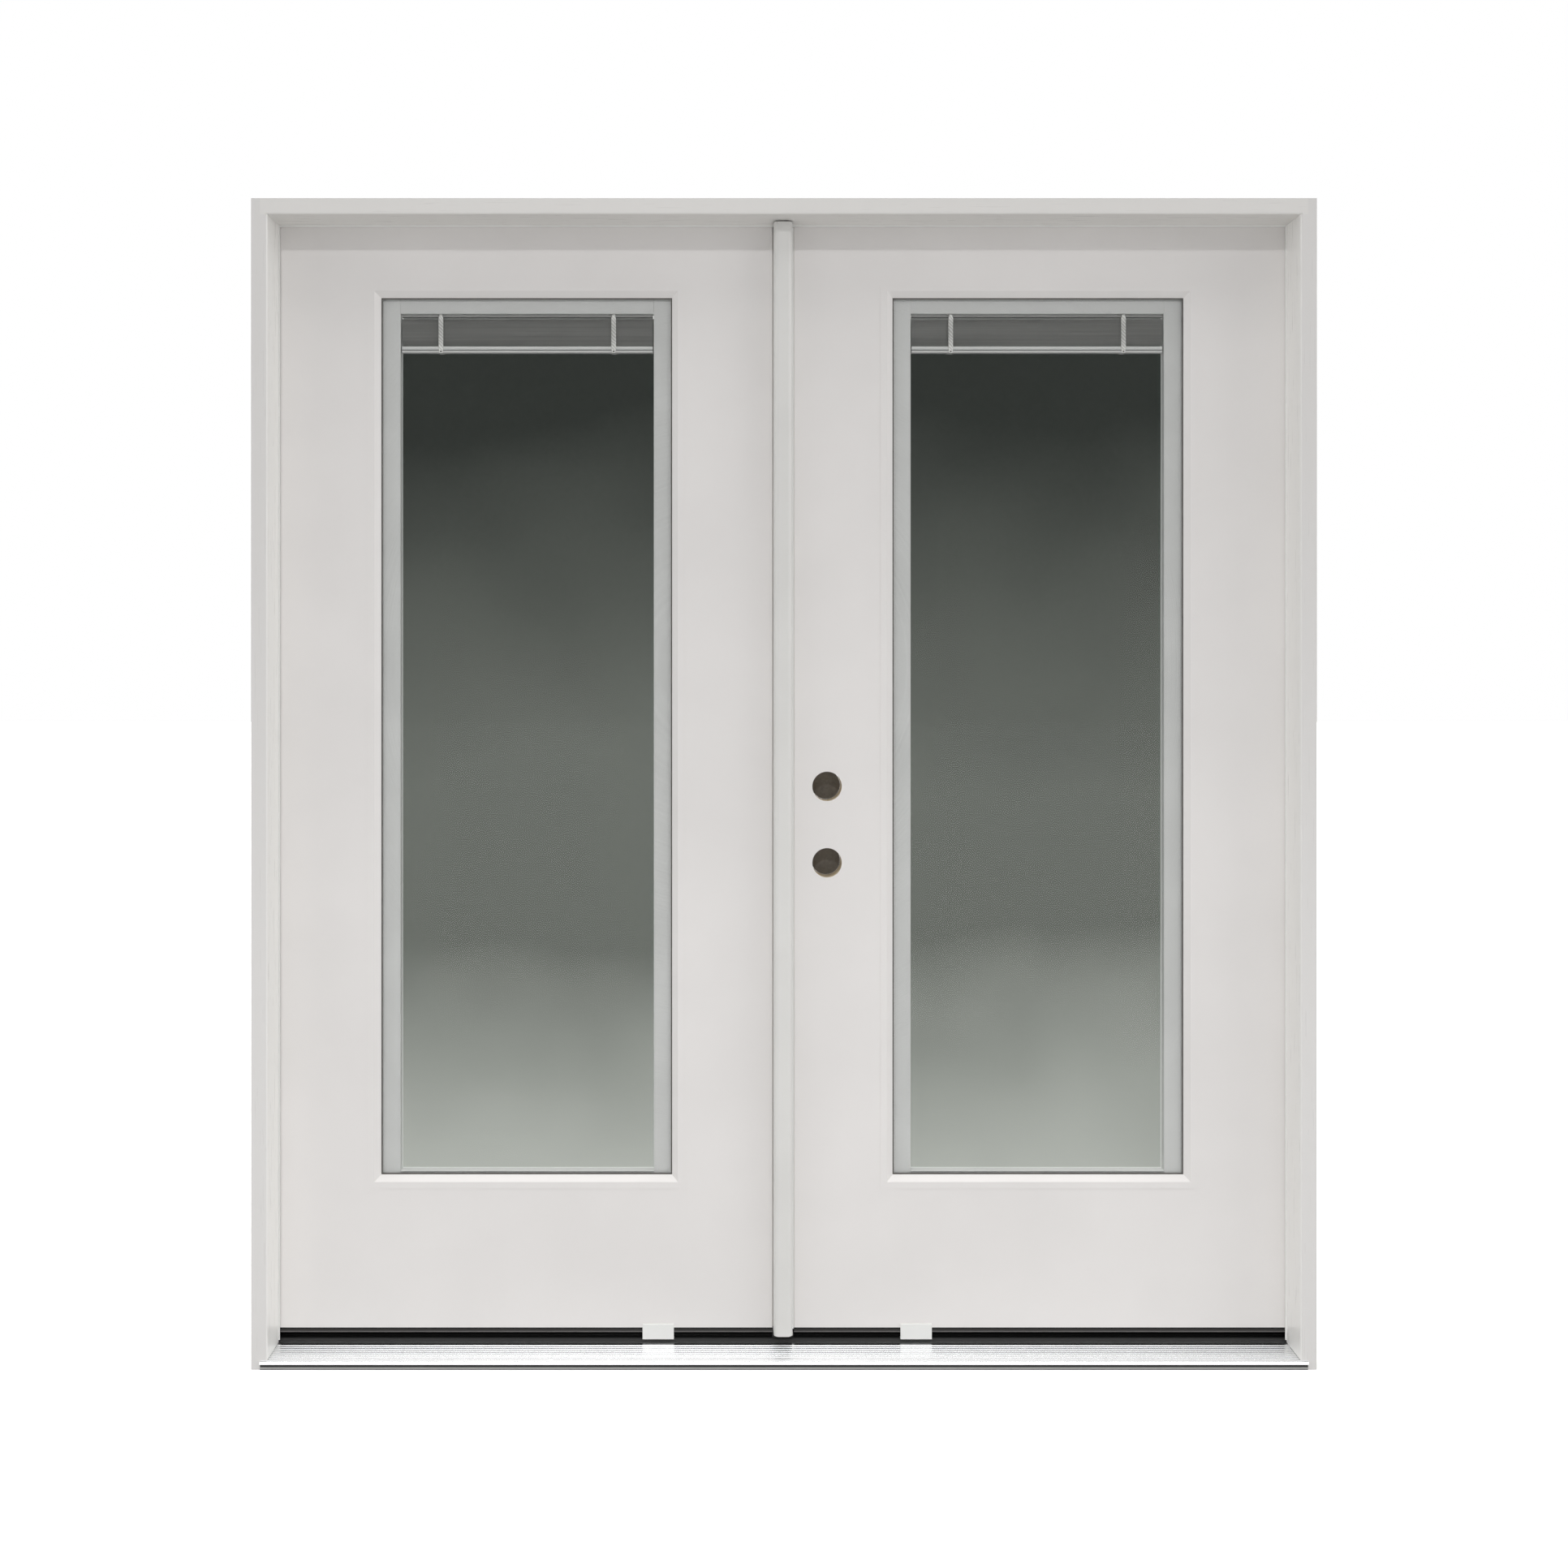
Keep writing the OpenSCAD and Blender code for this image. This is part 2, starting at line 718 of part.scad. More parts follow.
// The inner skin is the outer one turned about the leaf's middle plane
module inner_side() {
    translate([0, leaf_y0 + leaf_y1, 0]) mirror([0, 1, 0]) children();
}

module hinge_stile() {
    color(TIMBER) difference() {
        bar(-leaf_x, -leaf_x + hinge_stile_w, core_y0, core_y1, leaf_z0, leaf_z1);
        for (z = hinge_z) {
            hinge_mortise(-leaf_x - over, -leaf_x + hinge_t, z);
            plate_screws(-leaf_x, z, 1, leaf_screw_l, screw_fit);
        }
    }
}

// The inner skin's edge is cut away where a hinge plate comes through
module hinge_notches() {
    for (z = hinge_z) hinge_mortise(-leaf_x - over, -leaf_x + hinge_t, z);
}

module meeting_stile(meet, width) {
    color(TIMBER) bar(-meet - width, -meet, core_y0, core_y1, leaf_z0, leaf_z1);
}

module rail(meet, width, z0, z1) {
    color(TIMBER) bar(-leaf_x + hinge_stile_w, -meet - width, core_y0, core_y1, z0, z1);
}

module top_rail(meet, width) { rail(meet, width, leaf_z1 - top_rail_h, leaf_z1); }
module bottom_rail(meet, width) { rail(meet, width, leaf_z0, leaf_z0 + bottom_rail_h); }

module core(meet, width) {
    color(FOAM) difference() {
        bar(-leaf_x + hinge_stile_w, -meet - width, core_y0, core_y1,
            leaf_z0 + bottom_rail_h, leaf_z1 - top_rail_h);
        bar(unit_x0 - pocket_clear, unit_x1 + pocket_clear, core_y0 - over, core_y1 + over,
            unit_z0 - pocket_clear, unit_z1 + pocket_clear);
    }
}

module sweep(meet) {
    plate_z0 = leaf_z0 - sweep_base_t;
    plate_y0 = leaf_y0 + sweep_clear;
    plate_y1 = leaf_y1 - sweep_in;
    front_y = plate_y0 + sweep_front_r;
    color(BLACK) along_x(-leaf_x + sweep_end, -meet) {
        translate([plate_y0, plate_z0]) square([plate_y1 - plate_y0, sweep_base_t]);
        translate([front_y, leaf_z0 - sweep_front_r]) circle(sweep_front_r);
        translate([front_y, sweep_z0 + sweep_lip_r]) circle(sweep_lip_r);
        translate([front_y - sweep_fin_t / 2, sweep_z0 + sweep_lip_r])
            square([sweep_fin_t, leaf_z0 - sweep_z0 - sweep_lip_r]);
        for (share = fin_shares) translate([plate_y0 + share * (plate_y1 - plate_y0), sweep_z0])
            square([sweep_fin_t, leaf_z0 - sweep_z0]);
    }
}

// A white clip over the leaf's lower edge, with a toe under the sweep
module sweep_clip(x) {
    z0 = riser_z + clip_clear;
    color(VINYL) along_x(-x - clip_w / 2, -x + clip_w / 2) {
        eased_rect(leaf_y0 - clip_t, z0, leaf_y0, leaf_z0 + clip_lap, clip_r, [1, 0, 0, 1]);
        translate([leaf_y0 - touch, z0]) square([clip_toe, clip_toe_t]);
    }
}

// Glass units and blinds

module outer_pane() {
    color(GLASS) bar(unit_x0, unit_x1, unit_y0, cavity_y0, unit_z0, unit_z1);
}

module inner_pane() {
    color(GLASS) bar(unit_x0, unit_x1, cavity_y1, unit_y1, unit_z0, unit_z1);
}

module blind_channels() {
    color(CHANNEL) {
        along_z(unit_z0, unit_z1)
            eased_rect(unit_x0, cavity_y0, lite_x0 + channel_w, cavity_y1, channel_r, [0, 1, 1, 0]);
        along_z(unit_z0, unit_z1)
            eased_rect(lite_x1 - channel_w, cavity_y0, unit_x1, cavity_y1, channel_r, [1, 0, 0, 1]);
    }
}

module between_channels() {
    along_x(lite_x0 + channel_w, lite_x1 - channel_w) children();
}

// The head, and the strip that hangs under it on two short hangers
module blind_head() {
    color(CHANNEL) {
        between_channels()
            eased_rect(cavity_y0, lite_z1 - blind_head_h, cavity_y1, unit_z1, channel_r, [1, 1, 0, 0]);
        bar(slat_x0, slat_x1, slat_y0, slat_y1, head_strip_z0, head_strip_z1);
        for (side = [-1, 1])
            bar(-lite_cx + side * ladder_x - hanger_w / 2, -lite_cx + side * ladder_x + hanger_w / 2,
                slat_y0 + hanger_in, slat_y1 - hanger_in, head_strip_z1 - touch,
                lite_z1 - blind_head_h + touch);
    }
}

module blind_sill() {
    color(CHANNEL) between_channels()
        eased_rect(cavity_y0, unit_z0, cavity_y1, lite_z0 + blind_sill_h, channel_r, [0, 0, 1, 1]);
}

module slat_outline() {
    shares = [for (i = [-slat_steps:2:slat_steps]) i / slat_steps];
    polygon(concat(
        [for (s = shares) [s * slat_w / 2, crown(s)]],
        [for (s = [1:-2 / slat_steps:-1]) [s * slat_w / 2, crown(s) + slat_t]]
    ));
}

module slats() {
    color(SLAT) for (i = [1:slat_count]) along_x(slat_x0, slat_x1)
        translate([leaf_ym, stack_z1 - slat_crown - i * slat_pitch]) slat_outline();
}

module ladders() {
    tape_z0 = rail_z0 - ladder_tail;
    tape_z1 = lite_z1 - blind_head_h - ladder_head_gap;
    color(VINYL) for (side = [-1, 1], y = [slat_y0 - ladder_gap - ladder_t, slat_y1 + ladder_gap])
        along_z(tape_z0, tape_z1) eased_rect(-lite_cx + side * ladder_x - ladder_w / 2, y,
            -lite_cx + side * ladder_x + ladder_w / 2, y + ladder_t, ladder_r);
}

module blind_rail() {
    color(CHANNEL) along_x(slat_x0, slat_x1) difference() {
        eased_rect(slat_y0, rail_z0, slat_y1, rail_z1, rail_r);
        for (y = [slat_y0 - over, slat_y1 - rail_groove_d]) translate([y, rail_z0 + rail_lip_h])
            square([rail_groove_d + over, rail_groove_h]);
    }
}

// A magnetic grip on the inner pane, over the channel nearer the meeting edge
module blind_slider() {
    x = lite_x1 - channel_w / 2;
    y0 = unit_y1 + slider_gap;
    z0 = lite_z0 + slider_up;
    color(VINYL) difference() {
        along_z(z0, z0 + slider_h)
            eased_rect(x - slider_w / 2, y0, x + slider_w / 2, y0 + slider_t, slider_r, [0, 0, 1, 1]);
        for (i = [0:grip_n - 1])
            bar(x - slider_w, x + slider_w, y0 + slider_t - grip_d, y0 + slider_t + over,
                z0 + slider_h / 2 + (i - grip_n / 2) * grip_pitch,
                z0 + slider_h / 2 + (i - grip_n / 2) * grip_pitch + grip_w);
    }
}

// Astragal on the left leaf's meeting edge

module bolt_way(z0, z1, tab_z0, tab_z1) {
    translate([0, bolt_y, z0]) cylinder(h = z1 - z0, r = bolt_r + bolt_fit);
    bar(0, body_x1 + over, bolt_y - tab_w / 2 - slot_clear, bolt_y + tab_w / 2 + slot_clear,
        tab_z0 - slot_clear, tab_z1 + slot_clear);
}

module astragal() {
    color(WHITE) difference() {
        union() {
            along_z(leaf_z0, nose_z1) difference() {
                eased_rect(-nose_w / 2, nose_y0, nose_w / 2, leaf_y0, nose_r, [1, 1, 0, 0]);
                eased_rect(-nose_w / 2 + nose_wall, nose_y0 + nose_wall, nose_w / 2 - nose_wall,
                    leaf_y0 - nose_wall, nose_r - nose_wall, [1, 1, 0, 0]);
            }
            bar(-nose_w / 2, body_x1, leaf_y0 - touch, leaf_y1, leaf_z0, nose_z1);
            bar(-nose_w / 2, body_x1, leaf_y0, leaf_y1, nose_z1 - touch, leaf_z1);
            bar(-left_meet, -nose_w / 2 + touch, leaf_y0 + groove_d, leaf_y1, leaf_z0, leaf_z1);
        }
        bar(body_x1 - seal_slot_d, body_x1 + over, seal_slot_y0, seal_slot_y0 + seal_slot_w,
            leaf_z0 - over, leaf_z1 + over);
        bolt_way(upper_z0 - bolt_inset, leaf_z1 + over, upper_tab_z, upper_tab_z + tab_h + upper_throw);
        bolt_way(leaf_z0 - over, lower_z0 + bolt_l + bolt_inset, lower_tab_z - lower_throw,
            lower_tab_z + tab_h);
    }
}

module astragal_seal() {
    color(VINYL) along_z(leaf_z0, leaf_z1) {
        eased_rect(body_x1, leaf_y0 + seal_in, seal_x1, leaf_y0 + seal_in + astragal_seal_w,
            astragal_seal_r, [0, 1, 1, 0]);
        translate([body_x1 - seal_slot_d + barb_clear, seal_slot_y0 + barb_clear])
            square([seal_slot_d, seal_slot_w - 2 * barb_clear]);
    }
}

module astragal_boot() {
    color(BLACK) difference() {
        bar(-left_meet, boot_x1, leaf_y0 + sweep_clear, leaf_y1 - sweep_in, sweep_z0, leaf_z0);
        translate([0, bolt_y, sweep_z0 - over])
            cylinder(h = leaf_z0 - sweep_z0 + 2 * over, r = strike_r);
    }
}

module flush_bolt(z0, tab_z0) {
    color(STEEL) {
        translate([0, bolt_y, z0]) cylinder(h = bolt_l, r = bolt_r);
        bar(0, body_x1 - tab_in, bolt_y - tab_w / 2, bolt_y + tab_w / 2, tab_z0, tab_z0 + tab_h);
    }
}

module upper_bolt() { flush_bolt(upper_z0, upper_tab_z); }
module lower_bolt() { flush_bolt(lower_z0, lower_tab_z); }

// Left leaf

module left_outer_skin() { color(WHITE) skin(left_meet); }
module left_inner_skin() {
    color(WHITE) difference() {
        inner_side() skin(left_meet);
        hinge_notches();
    }
}
module left_hinge_stile() { hinge_stile(); }
module left_meeting_stile() { meeting_stile(left_meet, meeting_stile_w); }
module left_top_rail() { top_rail(left_meet, meeting_stile_w); }
module left_bottom_rail() { bottom_rail(left_meet, meeting_stile_w); }
module left_core() { core(left_meet, meeting_stile_w); }
module left_hinge_leaves() { leaf_hinge_leaves(); }
module left_hinge_screws() { leaf_hinge_screws(); }
module left_sweep() { sweep(left_meet); }
module left_sweep_clip() { sweep_clip(left_clip_x); }
module left_outer_pane() { outer_pane(); }
module left_inner_pane() { inner_pane(); }
module left_blind_head() { blind_head(); }
module left_blind_channels() { blind_channels(); }
module left_blind_sill() { blind_sill(); }
module left_slats() { slats(); }
module left_ladders() { ladders(); }
module left_blind_rail() { blind_rail(); }
module left_blind_slider() { blind_slider(); }

// Right leaf, the mirror image with the lock bores

module right_outer_skin() {
    color(WHITE) sided(true) difference() {
        skin(right_meet);
        lock_bores();
    }
}
module right_inner_skin() {
    color(WHITE) sided(true) difference() {
        inner_side() skin(right_meet);
        lock_bores();
        hinge_notches();
    }
}
module right_hinge_stile() { sided(true) hinge_stile(); }
module right_lock_stile() {
    sided(true) difference() {
        meeting_stile(right_meet, lock_stile_w);
        lock_bores();
    }
}
module right_top_rail() { sided(true) top_rail(right_meet, lock_stile_w); }
module right_bottom_rail() { sided(true) bottom_rail(right_meet, lock_stile_w); }
module right_core() { sided(true) core(right_meet, lock_stile_w); }
module right_hinge_leaves() { sided(true) leaf_hinge_leaves(); }
module right_hinge_screws() { sided(true) leaf_hinge_screws(); }
module right_sweep() { sided(true) sweep(right_meet); }
module right_sweep_clip() { sided(true) sweep_clip(right_clip_x); }
module right_outer_pane() { sided(true) outer_pane(); }
module right_inner_pane() { sided(true) inner_pane(); }
module right_blind_head() { sided(true) blind_head(); }
module right_blind_channels() { sided(true) blind_channels(); }
module right_blind_sill() { sided(true) blind_sill(); }
module right_slats() { sided(true) slats(); }
module right_ladders() { sided(true) ladders(); }
module right_blind_rail() { sided(true) blind_rail(); }
module right_blind_slider() { sided(true) blind_slider(); }

left_jamb();
right_jamb();
head_jamb();
sill_base();
sill_tread();
sill_riser();
left_weatherstrip();
right_weatherstrip();
head_weatherstrip();
corner_pads();
frame_screws();
bolt_strikes();
jamb_hinge_leaves();
hinge_pins();
jamb_hinge_screws();
left_outer_skin();
left_inner_skin();
left_hinge_stile();
left_meeting_stile();
left_top_rail();
left_bottom_rail();
left_core();
left_hinge_leaves();
left_hinge_screws();
left_sweep();
left_sweep_clip();
left_outer_pane();
left_inner_pane();
left_blind_head();
left_blind_channels();
left_blind_sill();
left_slats();
left_ladders();
left_blind_rail();
left_blind_slider();
astragal();
astragal_seal();
astragal_boot();
upper_bolt();
lower_bolt();
right_outer_skin();
right_inner_skin();
right_hinge_stile();
right_lock_stile();
right_top_rail();
right_bottom_rail();
right_core();
right_hinge_leaves();
right_hinge_screws();
right_sweep();
right_sweep_clip();
right_outer_pane();
right_inner_pane();
right_blind_head();
right_blind_channels();
right_blind_sill();
right_slats();
right_ladders();
right_blind_rail();
right_blind_slider();
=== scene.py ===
"""Looks of a glazed double door: finishes for its solids, blinds, tapes, beads, floor, light and camera."""

import json
import logging
import math
from collections.abc import Callable
from dataclasses import dataclass
from enum import Enum
from typing import Any

import bpy
import numpy as np
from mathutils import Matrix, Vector

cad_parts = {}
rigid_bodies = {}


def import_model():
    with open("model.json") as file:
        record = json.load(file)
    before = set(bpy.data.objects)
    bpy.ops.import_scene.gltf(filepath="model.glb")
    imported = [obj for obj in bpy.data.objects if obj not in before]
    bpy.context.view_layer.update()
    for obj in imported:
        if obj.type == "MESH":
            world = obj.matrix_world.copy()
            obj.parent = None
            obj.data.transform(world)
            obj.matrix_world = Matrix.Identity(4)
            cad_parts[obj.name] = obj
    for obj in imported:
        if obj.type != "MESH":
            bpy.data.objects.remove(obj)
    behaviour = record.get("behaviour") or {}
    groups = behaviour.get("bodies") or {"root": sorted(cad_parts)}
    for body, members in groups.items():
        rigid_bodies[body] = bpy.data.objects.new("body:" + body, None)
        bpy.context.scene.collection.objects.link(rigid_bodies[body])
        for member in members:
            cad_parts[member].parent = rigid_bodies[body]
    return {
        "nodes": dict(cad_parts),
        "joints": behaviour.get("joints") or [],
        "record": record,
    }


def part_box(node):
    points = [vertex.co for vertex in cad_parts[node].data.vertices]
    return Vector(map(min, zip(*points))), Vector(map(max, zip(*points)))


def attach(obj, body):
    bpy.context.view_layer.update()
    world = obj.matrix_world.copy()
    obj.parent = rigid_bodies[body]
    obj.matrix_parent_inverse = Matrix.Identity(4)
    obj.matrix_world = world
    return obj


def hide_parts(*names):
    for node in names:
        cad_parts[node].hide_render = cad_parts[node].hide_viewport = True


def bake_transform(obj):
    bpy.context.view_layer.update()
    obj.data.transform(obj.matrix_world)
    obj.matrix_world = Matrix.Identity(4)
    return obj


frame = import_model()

LOG = logging.getLogger("double_door")
MM = 0.001
# Share of a normal along an axis from which on its face counts as looking that way, roughly and squarely.
FACING = 0.9
SQUARE = 0.99
# Turn that stands a flat shape, or the view, upright.
UPRIGHT = (math.pi / 2, 0, 0)


class Side(Enum):
    """The two leaves, seen from outside."""

    LEFT = "left"
    RIGHT = "right"


def linear(code: str) -> tuple[float, float, float, float]:
    """Turn an sRGB hex code into a linear colour.

    Args:
        code: six hex digits.

    Returns:
        Red, green, blue and an alpha of one.
    """
    parts = [int(code[i : i + 2], 16) / 255 for i in (0, 2, 4)]
    r, g, b = [p / 12.92 if p <= 0.04045 else ((p + 0.055) / 1.055) ** 2.4 for p in parts]
    return (r, g, b, 1.0)


def per_mm(size: float) -> float:
    """Texture scale that gives features of a size in millimetres on Object coordinates."""
    return 1 / (size * MM)


def feed(tree: Any, made: Any, links: dict[Any, Any]) -> None:
    """Set a node's inputs.

    Args:
        tree: the node tree.
        made: the node.
        links: socket name or number to a value, or to the output socket that feeds it.
    """
    for name, value in links.items():
        if isinstance(value, bpy.types.NodeSocket):
            tree.links.new(value, made.inputs[name])
        else:
            made.inputs[name].default_value = value


def node(tree: Any, kind: str, links: dict[Any, Any] | None = None, **settings: Any) -> Any:
    """Add one shader node.

    Args:
        tree: the node tree.
        kind: the node's type name.
        links: its inputs, as feed takes them.
        **settings: the node's own properties.

    Returns:
        The new node.
    """
    made = tree.nodes.new(kind)
    for name, value in settings.items():
        setattr(made, name, value)
    feed(tree, made, links or {})
    return made


@dataclass(frozen=True)
class Finish:
    """A surface finish, made once and shared by all its pieces.

    Attributes:
        name: what the surface is and how it was made.
        tone: its sRGB colour.
        shade: the darker colour of its faint patches.
        rough: its roughness.
    """

    name: str
    tone: str
    shade: str
    rough: float

    def build(self) -> Any:
        """Make the Blender material, unless it exists already.

        Returns:
            The material.
        """
        found = bpy.data.materials.get(self.name)
        if found:
            return found
        made = bpy.data.materials.new(self.name)
        made.use_nodes = True
        tree = made.node_tree
        self.wire(tree, tree.nodes["Principled BSDF"])
        return made

    def wire(self, tree: Any, shader: Any) -> None:
        """Link the finish's textures to the shader; each kind of finish has its own."""
        raise NotImplementedError


@dataclass(frozen=True)
class Coating(Finish):
    """Sprayed or moulded coating: an even colour with faint cloudy patches and a fine skin texture.

    Attributes:
        patch_mm: size of the cloudy patches.
        peel_mm: size of the skin's dimples, drawn coarser than life so that they show.
        peel: strength of the dimples.
        clouds: levels of the noise between which the colour changes.
        swing: how far the roughness goes either way.
    """

    patch_mm: float = 220.0
    peel_mm: float = 3.0
    peel: float = 0.03
    clouds: tuple[float, float] = (0.35, 0.65)
    swing: float = 0.05

    def wire(self, tree: Any, shader: Any) -> None:
        """Cloudy colour, a little change in gloss and a fine dimpled bump.

        Args:
            tree: the material's node tree.
            shader: its shader.
        """
        place = node(tree, "ShaderNodeTexCoord").outputs["Object"]
        cloud = node(tree, "ShaderNodeTexNoise",
                     {"Vector": place, "Scale": per_mm(self.patch_mm), "Detail": 3.0}).outputs[0]
        share = node(tree, "ShaderNodeMapRange", {0: cloud, 1: self.clouds[0], 2: self.clouds[1]}).outputs[0]
        colour = node(tree, "ShaderNodeMix", {0: share, 6: linear(self.shade), 7: linear(self.tone)},
                      data_type="RGBA").outputs[2]
        gloss = node(tree, "ShaderNodeMapRange",
                     {0: cloud, 3: self.rough - self.swing, 4: self.rough + self.swing}).outputs[0]
        dimple = node(tree, "ShaderNodeTexNoise",
                      {"Vector": place, "Scale": per_mm(self.peel_mm), "Detail": 2.0}).outputs[0]
        bump = node(tree, "ShaderNodeBump",
                    {"Height": dimple, "Strength": self.peel, "Distance": MM}).outputs[0]
        feed(tree, shader, {"Base Color": colour, "Roughness": gloss, "Normal": bump})


@dataclass(frozen=True)
class Streaked(Finish):
    """Drawn, brushed or extruded surface: fine streaks that run along one axis.

    Attributes:
        streak_mm: spacing of the streaks.
        along: the axis that they follow, as a mapping scale.
        depth: strength of the streaks' bump.
        metal: metallic share.
        shine: specular level.
        face: sRGB colour of the surfaces that look straight outwards, where it differs; painted light by
            facing, which leaves the jamb's reveal lighter than its face.
        facing: outward slopes between which the face's colour comes in.
        swing: how far the roughness goes either way.
    """

    streak_mm: float = 1.2
    along: tuple[float, float, float] = (0.02, 1.0, 1.0)
    depth: float = 0.05
    metal: float = 0.0
    shine: float = 0.5
    face: str = ""
    facing: tuple[float, float] = (-0.6, -0.95)
    swing: float = 0.08

    def colour(self, tree: Any, streak: Any) -> Any:
        """Colour the streaks, and the outward faces where theirs differs, as painted light by facing.

        Args:
            tree: the material's node tree.
            streak: the output socket of the streaks.

        Returns:
            The output socket of the colour.
        """
        drawn = node(tree, "ShaderNodeMix", {0: streak, 6: linear(self.shade), 7: linear(self.tone)},
                     data_type="RGBA").outputs[2]
        if not self.face:
            return drawn
        # Painted light by facing: faces that look straight outwards take the face colour, and the reveal
        # keeps the lighter tone.
        normal = node(tree, "ShaderNodeTexCoord").outputs["Normal"]
        slope = node(tree, "ShaderNodeSeparateXYZ", {0: normal}).outputs[1]
        share = node(tree, "ShaderNodeMapRange", {0: slope, 1: self.facing[0], 2: self.facing[1]}).outputs[0]
        return node(tree, "ShaderNodeMix", {0: share, 6: drawn, 7: linear(self.face)},
                    data_type="RGBA").outputs[2]

    def wire(self, tree: Any, shader: Any) -> None:
        """Streaks in colour, gloss and height.

        Args:
            tree: the material's node tree.
            shader: its shader.
        """
        place = node(tree, "ShaderNodeTexCoord").outputs["Object"]
        drawn = node(tree, "ShaderNodeMapping", {"Vector": place, "Scale": self.along}).outputs[0]
        streak = node(tree, "ShaderNodeTexNoise",
                      {"Vector": drawn, "Scale": per_mm(self.streak_mm), "Detail": 3.0}).outputs[0]
        gloss = node(tree, "ShaderNodeMapRange",
                     {0: streak, 3: self.rough - self.swing, 4: self.rough + self.swing}).outputs[0]
        bump = node(tree, "ShaderNodeBump",
                    {"Height": streak, "Strength": self.depth, "Distance": MM}).outputs[0]
        feed(tree, shader, {"Base Color": self.colour(tree, streak), "Roughness": gloss, "Normal": bump,
                            "Metallic": self.metal, "Specular IOR Level": self.shine})


@dataclass(frozen=True)
class Banded(Streaked):
    """Extruded surface whose tone is set by height; on the sweeps and the rail its bands are painted
    highlight and painted shade, where beads and grooves catch or miss the light.

    Attributes:
        levels: heights in metres from the lowest up, each with its sRGB colour.
    """

    levels: tuple[tuple[float, str], ...] = ()

    def colour(self, tree: Any, streak: Any) -> Any:
        """Colour the surface by its levels; the streaks stay in its gloss and height.

        Args:
            tree: the material's node tree.
            streak: the output socket of the streaks, which the colour doesn't use.

        Returns:
            The output socket of the colour.
        """
        place = node(tree, "ShaderNodeTexCoord").outputs["Object"]
        height = node(tree, "ShaderNodeSeparateXYZ", {0: place}).outputs[2]
        low, high = self.levels[0][0], self.levels[-1][0]
        share = node(tree, "ShaderNodeMapRange", {0: height, 1: low, 2: high}).outputs[0]
        ramp = node(tree, "ShaderNodeValToRGB", {0: share})
        stops = ramp.color_ramp.elements
        while len(stops) < len(self.levels):
            stops.new(1.0)
        for stop, (level, code) in zip(stops, self.levels):
            stop.position = (level - low) / (high - low)
            stop.color = linear(code)
        return ramp.outputs[0]


@dataclass(frozen=True)
class ClearGlass(Finish):
    """Clear float glass, thin enough to be seen through unbent, with a faint haze of its own.

    Attributes:
        haze: share of the view that the pane keeps back.
        cloud_mm: size of the haze's clouds.
    """

    haze: float = 0.06
    cloud_mm: float = 500.0

    def wire(self, tree: Any, shader: Any) -> None:
        """A see-through pane with faint cloudy haze.

        Args:
            tree: the material's node tree.
            shader: its shader.
        """
        place = node(tree, "ShaderNodeTexCoord").outputs["Object"]
        cloud = node(tree, "ShaderNodeTexNoise",
                     {"Vector": place, "Scale": per_mm(self.cloud_mm), "Detail": 2.0}).outputs[0]
        colour = node(tree, "ShaderNodeMix", {0: cloud, 6: linear(self.shade), 7: linear(self.tone)},
                      data_type="RGBA").outputs[2]
        feed(tree, shader, {"Base Color": colour, "Roughness": self.rough, "Alpha": self.haze})


@dataclass(frozen=True)
class RoomShadeGlass(Finish):
    """Clear float glass with painted shade: a tint from the tone at the foot over the waist colour to the
    shade at the top, standing in for the dark room seen through it and mirrored in it.

    Attributes:
        waist: sRGB colour at the waist.
        bare: sRGB colour of the border without the painted shade.
        lower: heights in metres between which the foot's colour turns into the waist's.
        upper: heights between which the waist's colour turns into the top's.
        index: refractive index, kept low so that the white studio doesn't wash over the painted shade.
        drift: how far the tint's levels wander up and down, in metres.
        wave_mm: size of the wave that they follow.
        across: nearest and farthest distance of the tint from the meeting edge, in metres.
        upright: lowest and highest point of the tint, which stops where the blind's own frame begins.
    """

    waist: str = "FFFFFF"
    bare: str = "F2F4F1"
    lower: tuple[float, float] = (0.3, 0.75)
    upper: tuple[float, float] = (1.05, 1.7)
    index: float = 1.12
    drift: float = 0.3
    wave_mm: float = 420.0
    across: tuple[float, float] = (0.236, 0.7008)
    upright: tuple[float, float] = (0.325, 1.8931)

    def wire(self, tree: Any, shader: Any) -> None:
        """Painted shade by height, its levels made uneven by a wide faint wave, inside a bare border.

        Args:
            tree: the material's node tree.
            shader: its shader.
        """
        place = node(tree, "ShaderNodeTexCoord").outputs["Object"]
        axes = node(tree, "ShaderNodeSeparateXYZ", {0: place})
        wave = node(tree, "ShaderNodeTexNoise",
                    {"Vector": place, "Scale": per_mm(self.wave_mm), "Detail": 2.0}).outputs[0]
        swing = node(tree, "ShaderNodeMapRange", {0: wave, 3: -self.drift / 2, 4: self.drift / 2}).outputs[0]
        level = node(tree, "ShaderNodeMath", {0: swing, 1: axes.outputs[2]}, operation="ADD").outputs[0]
        # Painted shade: the tint stands in for the dark room seen through the glass and mirrored in it.
        tint = linear(self.tone)
        for code, (start, end) in ((self.waist, self.lower), (self.shade, self.upper)):
            share = node(tree, "ShaderNodeMapRange", {0: level, 1: start, 2: end}).outputs[0]
            tint = node(tree, "ShaderNodeMix", {0: share, 6: tint, 7: linear(code)},
                        data_type="RGBA").outputs[2]
        aside = node(tree, "ShaderNodeMath", {0: axes.outputs[0]}, operation="ABSOLUTE").outputs[0]
        within = [node(tree, "ShaderNodeMath", {0: value, 1: (start + end) / 2, 2: (end - start) / 2},
                       operation="COMPARE").outputs[0]
                  for value, (start, end) in ((aside, self.across), (axes.outputs[2], self.upright))]
        inside = node(tree, "ShaderNodeMath", dict(enumerate(within)), operation="MULTIPLY").outputs[0]
        colour = node(tree, "ShaderNodeMix", {0: inside, 6: linear(self.bare), 7: tint},
                      data_type="RGBA").outputs[2]
        feed(tree, shader, {"Base Color": colour, "Roughness": self.rough, "Transmission Weight": 1.0,
                            "IOR": self.index})


